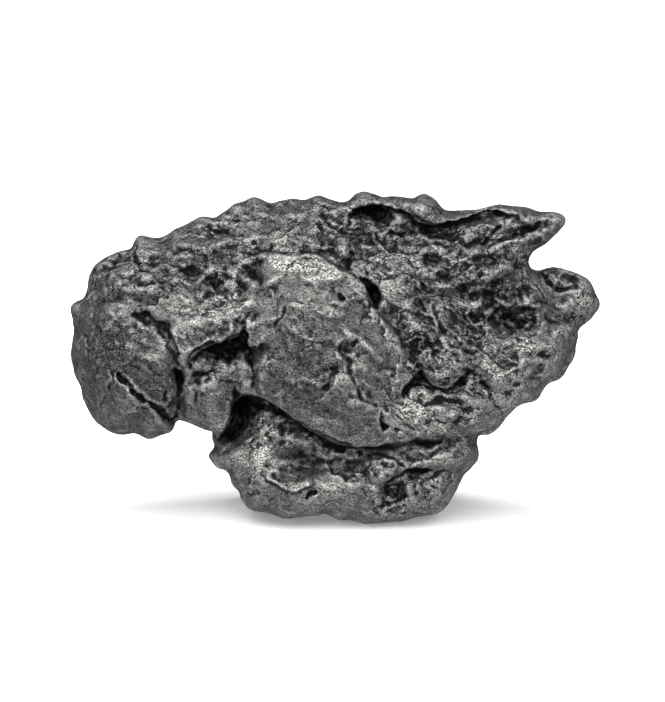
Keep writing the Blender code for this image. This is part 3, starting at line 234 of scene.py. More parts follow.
# Lips, raised along the left of the path over a sunken right side: (height, drop, reach, path).
LIPS = [
    # fang plate and the arch it hangs over
    (.5, .6, 1, [(-24.7, 30), (-24.2, 28.3), (-23.7, 26.5), (-23.2, 25), (-22.4, 23.8), (-21.9, 23.5)]),
    (.7, .9, 1, [(-21.9, 24.6), (-21.8, 25.3), (-21.2, 26), (-20.2, 26.7), (-19, 27.3), (-17.6, 27.7),
                 (-16.4, 28.2), (-15.2, 28.5), (-14.3, 28.9), (-13.8, 29.6)]),
    # pendant lip
    (.6, .8, .9, [(-13.8, 29.6), (-13, 28.2), (-12.9, 27), (-12.6, 26.3), (-11.8, 26.6), (-10.6, 27.2)]),
    # rim over the foot
    (.4, .8, 1.3, [(-15.1, 20.4), (-14.3, 19.6), (-13.4, 19.1), (-12, 19.05), (-10.6, 19), (-9.5, 18.5),
                   (-8.3, 17.6), (-7, 16.8), (-5.8, 15.8), (-4.6, 14.8), (-3.2, 14), (-1.8, 13.4),
                   (-.4, 12.8), (1, 12.3), (2.4, 11.8), (4, 11.6), (5.5, 11.7), (7, 11.9), (8.5, 12.2),
                   (9.7, 12.7)]),
    # upper edge of the centre mass
    (.5, .5, 1, [(5.2, 31.9), (4.8, 33), (4.6, 34.6), (3.9, 35.7), (3.2, 36.5), (2.2, 37.2), (1, 37.9),
                 (0, 38.5), (-1, 39), (-2.5, 39.9), (-4, 40.4), (-6, 39.9), (-8, 40.2), (-10, 40.4),
                 (-12, 40.1), (-14, 40)]),
    (.4, .7, 1, [(9.6, 19.4), (10, 20.3), (10.6, 21.1), (11.4, 21.6), (12.1, 22.2)]),
    # blade
    (.7, 1.2, 1, [(2.2, 47.2), (2.8, 47.2), (3.8, 47.5), (5.4, 48), (7.9, 47.5), (10, 47.1), (11.2, 46.4),
                  (11.8, 45.6), (12.6, 45.1), (14, 44.9), (15.6, 45.2), (17, 45.6), (18.6, 45.8),
                  (20.2, 46.1), (21.6, 46.8), (23, 47), (24.6, 46.9), (26.5, 46.6), (27.6, 46.5)]),
    # lump on the right
    (.5, .7, .9, [(12.9, 23.4), (13.2, 22.3), (13.9, 21.5), (14.8, 20.8), (16, 20.3), (17.2, 20.5),
                  (18, 21.4), (18.9, 22.3), (19.8, 23.2)]),
    # lower right fold
    (.4, .5, 1.5, [(23.2, 21.4), (24, 21.7), (25, 22), (26.2, 22.6), (27.2, 23.3)]),
    # scoop on the upper left
    (.5, .3, 1.6, [(-20.5, 32.4), (-19.8, 31.8), (-18.4, 31.1), (-17, 30.6), (-15.8, 30.4), (-14.6, 30.9),
                   (-13.9, 31.7)]),
    # crescent on the foot
    (.6, .4, 1.4, [(-10.9, 7.3), (-10, 6.6), (-9, 6.2), (-8.2, 5.7), (-7.2, 5.2), (-6, 5.1), (-5, 5.4),
                   (-4.2, 5.8), (-3.4, 6.6)]),
]

# Narrow rounded ridges: (half width, height, path).
RIDGES = [
    # rims of the gap beside the foot, the arch and the fang plate
    (.22, .6, [(-15.3, 19.6), (-15.5, 17.6), (-16, 15.6), (-16.8, 14), (-18, 13.4)]),
    (.25, .5, [(-21.4, 24.6), (-20.8, 26), (-19.4, 27), (-17.6, 27.7), (-15.8, 28.4), (-14.4, 28.9)]),
    (.2, .4, [(-24.1, 29.6), (-23.6, 27.8), (-23.1, 26), (-22, 24.2)]),
    # left lobe
    (.3, .35, [(-32.5, 21.4), (-31.8, 20.8), (-31, 20.4), (-30.5, 19.6), (-29.9, 19), (-29.2, 18.6)]),
    (.25, .25, [(-32.2, 23.1), (-31.6, 22.2), (-30.6, 21.4), (-29.4, 20.3), (-28.4, 19.5), (-27.6, 18.8),
                (-26.2, 18.3), (-25.6, 17.9)]),
    (.25, .35, [(-27.2, 16.6), (-26.5, 16), (-25.8, 15.7), (-25.1, 15.6)]),
    (.3, .3, [(-38.1, 28.3), (-37.7, 27.3), (-37.2, 26.7), (-36.6, 26.4)]),
    (.2, .2, [(-36.2, 29.9), (-35.8, 29.4), (-35.5, 29.2)]),
    (.3, .3, [(-30.1, 31.3), (-29.3, 30.7), (-28.4, 29.8), (-27.4, 29.1), (-26.4, 28.5)]),
    (.25, .2, [(-34.7, 32.5), (-34, 32.2), (-33.5, 31.6), (-32.7, 31.3)]),
    (.35, .2, [(-35.9, 25.2), (-35.7, 24.5), (-36.2, 23.6), (-36, 22.8), (-35.4, 21.8), (-35, 21.2),
               (-34.9, 20.2)]),
    (.3, .3, [(-24.9, 26.2), (-24.6, 25.6), (-23.9, 25.1)]),
    (.25, .25, [(-24.5, 23.8), (-23.6, 23.4), (-23.1, 22.8), (-22.8, 21.6), (-22.6, 20.8), (-22.2, 20.3)]),
    (.25, .2, [(-24, 22.7), (-24.1, 21.7), (-24.6, 21)]),
    (.3, .3, [(-26, 20.9), (-25.6, 21.3), (-25.2, 20.8), (-24.6, 20.6)]),
    (.25, .3, [(-24.6, 19.9), (-24.1, 19.5), (-23.6, 19.3)]),
    (.35, .35, [(-32.5, 16.5), (-31.2, 16.6), (-30, 16.9), (-29.5, 17.5)]),
    (.35, .25, [(-33.6, 16.3), (-33, 15.4), (-32.4, 14.9)]),
    (.25, .2, [(-23.2, 28.6), (-22.8, 28), (-22.4, 27.4)]),
    # upper left
    (.3, .4, [(-33.2, 36), (-32, 35.95), (-30.8, 36)]),
    (.35, .45, [(-31.8, 35.4), (-31, 35.1), (-30, 35.2), (-29.4, 34.8), (-28.6, 35), (-28, 35.4)]),
    (.25, .25, [(-27.8, 35.1), (-27.2, 34.5)]),
    (.4, .45, [(-29.8, 37.4), (-29, 37), (-28, 36.7), (-27.4, 36.4)]),
    (.35, .4, [(-33.6, 38), (-33.2, 37.2), (-32.6, 36.6), (-31.8, 36.3)]),
    (.45, .4, [(-32.8, 40.7), (-32, 40.5), (-31.4, 40.2)]),
    (.3, .25, [(-35.6, 38.1), (-35, 37.6)]),
    (.4, .5, [(-25.8, 41.6), (-25.2, 40.9), (-24.9, 40.6), (-24.2, 41), (-23.8, 41.6), (-22.6, 41.9),
              (-21.8, 41.6), (-20.8, 41), (-19.8, 40.5), (-18.8, 40.9), (-17.8, 41.6), (-17, 42),
              (-16.4, 42.4), (-15, 42.9)]),
    (.4, .5, [(-24.8, 39.5), (-24, 39.7), (-23.2, 40.1), (-22.2, 40.4), (-21.5, 39.9)]),
    (.4, .55, [(-24.2, 38.5), (-23.6, 38), (-23, 37.4), (-22.6, 36.6), (-22.2, 36.1), (-21.2, 35.8),
               (-20.4, 36.1), (-20, 36.6), (-19.5, 37.3)]),
    (.25, .25, [(-24.5, 38.9), (-23.2, 39), (-22.6, 38.6), (-22.3, 38.2)]),
    (.3, .3, [(-25.2, 36), (-25.1, 35.2)]),
    (.35, .3, [(-24.8, 36), (-23.6, 36.4)]),
    (.3, .45, [(-10.9, 34.9), (-10.3, 35.4), (-9.8, 36.1), (-9, 36.6), (-8.4, 36.4)]),
    (.3, .35, [(-9.3, 34.2), (-8.8, 34), (-8, 34.1)]),
    (.3, .35, [(-17.2, 35.2), (-16.6, 35.7), (-16.3, 36)]),
    (.25, .25, [(-7.2, 31.6), (-7.9, 31), (-8.6, 30), (-9.2, 29)]),
    (.3, .45, [(-12.8, 31.4), (-13.2, 31), (-13, 30.2), (-12.4, 29.9), (-11.6, 30)]),
    (.3, .35, [(-20.2, 43.2), (-19, 43.8), (-17.9, 44.5), (-17, 45.2)]),
    (.3, .35, [(-20.9, 44.8), (-20.2, 44.4), (-19.6, 44)]),
    (.3, .3, [(-14.8, 42.8), (-13.6, 42.3), (-12.8, 41.6), (-12, 41.3)]),
    # around the flap
    (.3, .35, [(-20.9, 24), (-20.6, 23.5), (-20, 23.3), (-19, 23.3), (-18.4, 23.4)]),
    (.25, .25, [(-18.4, 23), (-18, 22.3), (-17.7, 21.6), (-17.2, 21.3)]),
    (.3, .4, [(-15.1, 19), (-15.4, 18), (-15.5, 16.8), (-15.7, 15.4), (-16.1, 14.2), (-16.6, 13.5),
              (-17.4, 13.1), (-18.1, 13.5)]),
    (.3, .4, [(-18, 12.2), (-16.6, 12.2), (-15.2, 12.6), (-14.2, 13.3), (-13.6, 14.2), (-13.2, 15)]),
    (.3, .25, [(-12.3, 22.6), (-12, 21.6), (-11.7, 20.6), (-11.4, 19.8)]),
    (.3, .25, [(-11.3, 23), (-11.1, 21.4), (-11.2, 19.8)]),
    # centre mass
    (.25, .25, [(-7.2, 21.3), (-6, 21.5), (-5.2, 21.8), (-4.3, 21.6), (-3, 21.3), (-2.2, 20.9),
                (-1.8, 20.6)]),
    (.2, .2, [(-6.8, 21.1), (-6.1, 20.7)]),
    (.4, .35, [(.3, 26.2), (.5, 26.9), (1.2, 27.4), (2.4, 27.8), (3.3, 28.2)]),
    (.35, .4, [(3.6, 27.7), (4.2, 27), (4.8, 26.2), (5.5, 25.7), (6.2, 25.2), (7, 24.6), (7.7, 24)]),
    (.25, .3, [(7.8, 23.4), (8.2, 22.2), (8.8, 21.4), (9.2, 21.3), (9.8, 22)]),
    (.3, .3, [(1.9, 25.5), (2.6, 25.1), (3.2, 24.6)]),
    (.35, .4, [(2, 18), (2.7, 18.3), (3.7, 18.1)]),
    (.2, .3, [(4.2, 17), (5, 17.3), (5.9, 17.1)]),
    (.2, .25, [(7, 14), (7.5, 14.4)]),
    (.2, .2, [(4.2, 14.5), (4.8, 14.3)]),
    (.2, .25, [(5, 15.3), (5.8, 15.2)]),
    (.2, .25, [(7.5, 16.6), (8.1, 16.5)]),
    (.2, .25, [(9.3, 13), (9.8, 13.5)]),
    (.14, .15, [(3.3, 21.5), (3.5, 20)]),
    (.14, .15, [(3.7, 21.2), (3.9, 19.3)]),
    (.14, .15, [(4.1, 20.9), (4.3, 19)]),
    (.14, .15, [(4.5, 20.4), (4.6, 18.8)]),
    (.5, .4, [(-5.6, 37.6), (-4.6, 36.8), (-3.6, 36.5), (-2.4, 36.7), (-1, 36.8), (.6, 37), (1.4, 37.4)]),
    (.5, .5, [(-7.4, 31.6), (-6.9, 32.4), (-6, 32.8), (-5, 32.5), (-4.2, 33.2), (-3.3, 33.1)]),
    (.45, .5, [(-3.5, 32), (-2.6, 31.9), (-1.6, 31.6), (-.6, 31.4), (.4, 31.3), (1.2, 31.4), (1.5, 31.8)]),
    (.2, .2, [(-5, 31.9), (-4.3, 31.3), (-3.8, 30.5)]),
    (.3, .25, [(2.4, 33.9), (3.4, 33.8), (4, 33.7)]),
    (.25, .2, [(1.4, 29.2), (2, 28.6), (2.8, 28.4)]),
    # top
    (.5, .45, [(-.6, 42.2), (-.4, 43), (.4, 43.3), (1.3, 42.9), (1.9, 42.2), (2.2, 41.2), (2.3, 40.2)]),
    (.3, .4, [(-3.3, 41.6), (-2.2, 41.9), (-1, 42)]),
    (.3, .35, [(-3.8, 42.6), (-3.3, 42), (-3, 41.5)]),
    (.25, .35, [(1.2, 39.5), (2, 39.8), (2.5, 39.8)]),
    (.5, .4, [(2.6, 38.2), (3.2, 38.8), (4, 38.8), (4.8, 38.5), (5.4, 38)]),
    (.4, .3, [(2.5, 38.2), (3.2, 37.4), (4.2, 36.8)]),
    (.35, .4, [(3.6, 41.2), (4.6, 41.4), (5.5, 41.3), (6.2, 42)]),
    (.3, .3, [(6.2, 42.2), (6.8, 42.8), (7.3, 43.6), (7.9, 44.3)]),
    (.45, .5, [(7.1, 35.2), (7.1, 34.2), (7, 33.4), (6.6, 32.7), (6, 32.1), (5.6, 31.6)]),
    (.5, .35, [(5.2, 31), (6, 30.6), (6.8, 30.2), (7.3, 29.4)]),
    (.3, .3, [(5.5, 48.7), (6.5, 48.3), (8, 48.4), (10, 48.5)]),
    (.2, .3, [(8, 44.3), (9, 44.1), (10.2, 44.1)]),
    # right of the centre mass
    (.6, .6, [(10.8, 19.2), (11.6, 19.8), (12.5, 20), (13.4, 19.8), (13.9, 19.2)]),
    (.35, .6, [(13.2, 16.2), (13.9, 16.9), (14.8, 17.3), (15.8, 17.3), (16.8, 16.9)]),
    (.5, .5, [(17.5, 19.5), (18.6, 19.2), (19.6, 18.6), (20.6, 18.1), (21.6, 17.5), (22.6, 16.9)]),
    (.3, .4, [(16.8, 16.2), (17.8, 16.6), (18.6, 16.6), (19.6, 16.2), (20.6, 16.5), (21.6, 16.4),
              (22.2, 16.8)]),
    (.3, .45, [(18.4, 15.4), (19.2, 15), (20, 15.2), (20.9, 15.4), (21.3, 15.8)]),
    (.2, .2, [(9.6, 14.4), (11, 14), (12.8, 13.6), (15, 13.5), (17, 13.4)]),
    (.2, .2, [(9.5, 13.6), (11.5, 13.4), (13, 13.1)]),
    (.2, .2, [(10.4, 12.9), (12.6, 12.9), (15, 12.9), (17.6, 13.1)]),
    (.3, .35, [(18.5, 28.2), (19.4, 28.3), (20.5, 28.1), (21.6, 27.6)]),
    (.3, .25, [(18.2, 26.9), (18.7, 26.2), (19.1, 25.4), (19.4, 25)]),
    (.4, .45, [(14.7, 22), (15.4, 22.2), (16.2, 22.1), (16.8, 22.3), (17.3, 22)]),
    (.35, .5, [(14.1, 42.7), (14.7, 42.2), (15, 41.5), (15.6, 41.2), (16, 40.5), (16.6, 39.8), (17.6, 39.6),
               (18.4, 39.3), (19.2, 39.4), (20, 39.7), (20.5, 40.3), (20.9, 40.9)]),
    (.35, .55, [(13, 37.4), (13.8, 37.2), (14.6, 37.4), (15.1, 38.1), (15.6, 38.3)]),
    (.35, .55, [(14.4, 35.3), (15.4, 35.3), (16.6, 35.4), (17.4, 35.8), (17.8, 36.4), (18.8, 36.6),
                (20, 36.6), (21.2, 36.9), (21.8, 36.3), (22.8, 35.7), (23.3, 35.3)]),
    (.35, .45, [(19.8, 37.4), (21, 37.3), (22.2, 37.2), (23.2, 37.6), (24, 37.8), (24.8, 38.1), (26, 38.2),
                (26.8, 37.9)]),
    (.3, .45, [(21.8, 41), (22.8, 40.9), (23.4, 41.2), (24.4, 41.5), (25.1, 42), (25.8, 42.4),
               (26.6, 42.7)]),
    (.3, .35, [(23.8, 40), (24.4, 40.4), (25, 40.4)]),
    (.25, .3, [(12.6, 36.2), (12.7, 35.7), (12.9, 35.3)]),
    (.35, .4, [(13.9, 33.2), (14.2, 32), (14.6, 31), (15, 30.2), (15.4, 29.4)]),
    (.25, .25, [(15.2, 44.6), (16.2, 44.3), (17, 44.6)]),
    (.25, .3, [(12.5, 46), (13.2, 45.6), (14.2, 45.8), (15, 46.4)]),
    (.2, .2, [(17.4, 42.9), (18.6, 43.3)]),
    # blade tip
    (.4, .4, [(27.4, 45.5), (28.2, 45.2), (28.8, 45.5), (29.5, 46.2), (30.4, 46.3)]),
    (.2, .25, [(26.6, 44.7), (28.4, 44.7), (29.8, 44.9), (31, 45.3), (32.6, 45.8)]),
    (.2, .2, [(25.2, 45.2), (26.6, 45.8), (28, 45.9)]),
    (.25, .3, [(30.9, 43.6), (32, 43.9), (33, 44.4)]),
    (.2, .2, [(28.6, 43), (30, 42.9), (31.4, 43.2)]),
    (.2, .2, [(30, 42.5), (31.2, 42.4)]),
    # right end and knob
    (.7, .4, [(30.3, 32.5), (30.6, 31), (30.4, 29.6), (30.9, 28.4)]),
    (.3, .45, [(24.8, 32.2), (25.8, 32.3), (26.6, 32), (26.9, 31.6)]),
    (.6, .45, [(27.6, 26.9), (29.2, 26.5), (30.4, 26.1), (31.6, 26.3)]),
    (.4, .55, [(27.2, 25), (28.6, 24.7), (29.8, 24.5), (31, 24.2), (32.2, 23.9)]),
    (.5, .45, [(28, 21.8), (29, 21.3), (30.2, 20.8), (31, 20.9), (31.6, 21.5)]),
    (.3, .35, [(32.2, 22.2), (32.6, 23.4), (32.7, 24.6)]),
    (.25, .3, [(33.2, 24.6), (33.6, 25.1), (34.2, 24.9), (34.3, 24.2), (33.9, 23.5), (33.3, 23.2)]),
    (.6, .45, [(32.4, 27.8), (33.2, 28.6), (34.2, 29.3), (35.4, 29.8), (36.2, 30.2)]),
    (.2, .35, [(30.6, 37.2), (31.6, 36.3), (32.6, 35)]),
    (.2, .25, [(31.2, 37.9), (32, 37), (32.6, 36.4)]),
    (.4, .35, [(35.4, 35), (36.2, 35.2), (36.8, 34.8)]),
    # foot
    (.35, .35, [(-7.4, 13.6), (-6.4, 13.3), (-5.2, 13.1)]),
    (.4, .35, [(-7.8, 13.2), (-6.4, 12.7), (-5, 12.3), (-4.2, 12.1)]),
    (.4, .45, [(-2.8, 10.6), (-1.6, 10.3), (-.4, 10.3), (.8, 10.7), (1.8, 11.1)]),
    (.3, .3, [(0, 9.9), (1.2, 10), (2.6, 9.9)]),
    (.2, .35, [(-4.2, 3.7), (-3.6, 3.9), (-3, 4.1)]),
    (.2, .25, [(-1, 4.1), (-.4, 4.4), (.1, 4.2)]),
    (.25, .35, [(12, 10.5), (12.8, 10.9), (13.4, 10.6), (14.2, 11.3)]),
    (.25, .35, [(14.6, 10.4), (15.2, 10.6), (15.6, 10.9)]),
    (.3, .35, [(9.4, 10.8), (10.2, 11.6), (10.8, 12.3)]),
    (.3, .25, [(5.8, 11.6), (7.2, 11.8), (8.8, 11.6), (9.8, 11.9)]),
    (.3, .45, [(6.6, 1.7), (7.6, 1.4), (9, 1.4), (10.4, 1.8)]),
    (.35, .5, [(10.8, 6.5), (11.1, 5.4), (11.2, 4.2), (11.4, 3)]),
    (.3, .35, [(5.5, 6.2), (5.6, 5.4), (5.6, 4.7)]),
    (.2, .3, [(12.2, 6.4), (13.4, 7.2), (14.3, 7.8)]),
    (.2, .35, [(14.1, 8), (14.3, 7.4), (14.4, 6.9)]),
    (.2, .35, [(15.9, 7.2), (15.8, 6.2), (15.7, 5.4)]),
    (.2, .25, [(14.4, 6.6), (15.4, 7)]),
    (.2, .25, [(12.6, 5.2), (13.4, 6), (14.6, 6.6)]),
    (.2, .25, [(14.2, 4.6), (15, 4.3), (15.8, 4.8)]),
]

# Bumps on the stone's outline, and nicks below zero: (u, v, radius, height).
NUBS = [
    (-29.3, 43, .8, .8), (-30.9, 41.6, .6, -.6), (-38.3, 34.1, .8, -.6), (-39.2, 32.3, .8, .3),
    (-38.9, 22.3, .8, .5), (-30.2, 13.2, 1, -.5), (-28, 13, .7, .3), (-23.5, 15.2, .6, -.9),
    (-25, 14.2, .6, .4), (-16.3, 7.2, .7, -.8), (-14.9, 4.6, .7, -.7), (-18.7, 10.2, .6, .5),
    (-18.1, 11.5, .5, -.5), (-17, 8, .6, -.5), (-1.3, 1.2, .8, -.5), (19.4, 7.2, .8, -.3),
    (31.7, 20.4, .8, -.4), (36, 25.2, .8, .3), (27.6, 17.6, 1.4, -.4), (21.7, 13.1, .6, -.5),
    (30.3, 38.9, .8, -.9), (37.7, 36, 1, .6), (39.2, 33, .9, .5), (1.5, 48.5, .8, -.5), (4.3, 50, .9, .3),
    (-9.8, 48.2, .8, -.7), (-2.9, 49, .7, .4), (-6.3, 48.5, .7, .4), (-12.5, 48.8, .8, .4),
    (-14.9, 47.3, .7, .5), (11.6, 49, .8, -.5), (13, 49.4, .7, .3), (16, 47.4, .8, -.4), (24, 47.3, 1, .5),
    (30.3, 47, .8, -.3), (-24.3, 43.6, .7, .5), (-19.8, 46, .7, .4), (-17.9, 46, .6, -.3),
]

# Finely grooved patches: (u, v, half width, half height, direction of the grooves in degrees).
GROOVED = [
    (26.6, 30.4, 4.4, 1.7, 12), (25, 33.2, 3.4, 1.2, -20), (33, 33, 2.4, 2, -40), (31, 36.3, 1.6, 1.4, -50),
    (22.8, 20.3, 1.3, 1.3, -60), (4, 20.2, .9, 1.6, -75), (-27.4, 29.8, 1.7, 1.2, -40),
    (14.2, 6.2, 2, 1.3, 55), (30, 45, 4, 1.1, 12), (15, 46.4, 4, .8, -12), (12, 13.7, 5, .8, -4),
    (21, 15.4, 3, 1, 25), (6, 45, 1.6, 1.2, 70), (-1.5, 34.6, 4, 1, 4), (-8, 14.4, 2, 1.2, 5),
    (16.5, 10.2, 3, .8, 20), (8.6, 4.6, 1.4, 1.2, 60), (22, 43.4, 2.4, 1, 25),
]

# Rounded dips below zero and lumps above: (height, u, v, half width, half height, turn in degrees if any).
SPOTS = [
    (1.1, -12, 15.2, 1.1, 2), (1.3, -9.6, 14.8, 2.4, 1.6, -35), (.8, -5, 12.2, 2.6, 1.3, -30),
    (.8, -19.9, 22, 1.3, .9), (.9, -17.3, 31.9, 2.8, 1.6, -10), (.6, -15.5, 35.6, 2.4, 1.2, -10),
    (.7, 14.8, 39.5, 1.6, .9, -15), (1.1, 8.8, 3.6, 1.5, 1.3), (.8, 2.4, 8.2, 1.4, 1),
    (1.6, 26.4, 31.4, 3.8, 1.7, -8), (.8, 21, 34.4, 1.4, 1), (.5, 24.2, 36.6, .7, .6),
    (.5, 15.6, 29.8, .8, 1.4, 20), (-1.9, 6.7, 8.4, 2.2, 1.5), (-1.3, 16.5, 23.8, 2.4, 2),
    (1.4, 13, 24.8, 1.4, 1.7), (1.4, 20, 24.8, 1.4, 1.7), (1.4, 16.5, 27.8, 2.8, 1.3),
    (1.1, 13.6, 26.8, 1.4, 1.3), (1.1, 19.4, 26.8, 1.4, 1.3), (.9, -22.1, 39.2, 1.2, 1),
    (1.1, -18.5, 37.3, 1.4, 1.2), (1.1, -13.6, 38.3, 1.3, 1.1), (.7, -18.2, 25.3, 2.3, 1, 8),
    (.5, -16.3, 24.6, 1.2, .9), (.8, 13.4, 24.4, 1.1, 1.1), (.8, 19.7, 24.4, 1.1, 1.1),
    (.9, 14, 25.8, 1.7, 1.3, 20), (.9, 19, 25.8, 1.7, 1.3, -20), (.8, 16.5, 27, 2.6, 1.1),
    (-.6, 16.5, 23.6, 1.8, 1.6), (-.7, -32.7, 38.6, 1.4, .5, 30), (-.4, -32.6, 39.9, 1.2, .35, 10),
    (-.4, -34, 37.2, .6, .4), (-.4, -28.7, 35.8, .9, .25), (-.8, -21.4, 37.5, 1.3, .9),
    (-.5, -22.5, 41, 1.6, .5), (-.8, -18.8, 44.6, .8, .5, 20), (-.9, -16.8, 43.8, 1.5, .7, 15),
    (-.7, -18, 34.4, 2, .9), (-.7, -18, 36.3, 1.2, 1), (-.9, -13.8, 35.2, .8, .8),
    (-.5, -13.5, 38.4, 1, .8), (-.6, -12.2, 37.3, 1.8, .6, -40), (-.4, -12.3, 30.7, .35, .3),
    (-.4, -9.6, 23.8, .4, .3), (-.35, -9.5, 22, .3, .3), (-.3, -9.2, 19.9, .25, .25),
    (.4, -16.2, 23.7, .6, .4), (.4, -19.2, 24.7, 1.2, .6), (.3, -12.5, 26.8, .4, .4),
    (.4, -18.3, 38.4, 1.1, .5), (.4, -15.3, 37.5, .7, .5), (.4, -12.4, 35.7, .5, .5),
    (.3, -14.4, 32.4, .4, .6), (-.35, 6.8, 22.9, .3, .25), (-.35, 7.5, 20.6, .5, .25, 30),
    (-.45, -7.9, 20.5, .35, .35), (-.3, -7.4, 23.4, .2, .2), (.5, 1, 41.6, 1.1, 1.5),
    (-.5, -2.3, 44, .8, .9), (-.6, 9.2, 43.3, 1, .4), (-.5, 11.8, 43.5, 1.4, .6), (.3, 7.8, 43.9, .3, .3),
    (-.4, 7.5, 38.4, 2.2, .4, -6), (.4, 12.4, 19.8, 1.3, .6), (.4, 11.3, 18.4, .9, .4),
    (.35, 11, 17.5, 1.4, .35), (-.3, 15.4, 16.3, 1.6, .5), (.35, 22, 18.2, 1.6, 1, -30),
    (-.6, 12.9, 26.7, .8, .8), (-.25, 17.3, 25.6, .8, .6), (-.6, 19.1, 35.4, .5, .5),
    (-.5, 23.8, 36.2, .5, .35), (-.45, 10.5, 36.2, .5, .3), (-.4, 10.9, 34, .8, .5),
    (.4, 21, 40.8, .5, .35), (-.35, 13.3, 46.4, .9, .5), (.3, 20.6, 45.2, .25, .25),
    (.25, 19.6, 42.1, .25, .2), (.45, 17.9, 40.8, .4, .4), (.35, 13.7, 41, .3, .4),
    (.35, 28.2, 45.4, .7, .4), (.5, 27.5, 41.6, 1.1, 1.5), (-.5, 27.2, 38.8, .8, .45),
    (.45, 28.8, 33.3, .9, .7), (-.55, 30.9, 25.4, 1.2, .4), (-.65, 30.2, 23.1, .9, .7),
    (-.5, 35.4, 36.4, 1, .6, -35), (-.6, -7, 7.8, 2.8, 1.1), (-.55, 18.3, 10.8, .8, .7),
    (.45, 10, 3.4, .8, .4, 25), (.35, 8.7, 5.6, .6, .4), (-.35, 7.9, 1.8, .25, .2),
    (-.5, 2.2, 8.6, 1.5, .9),
]
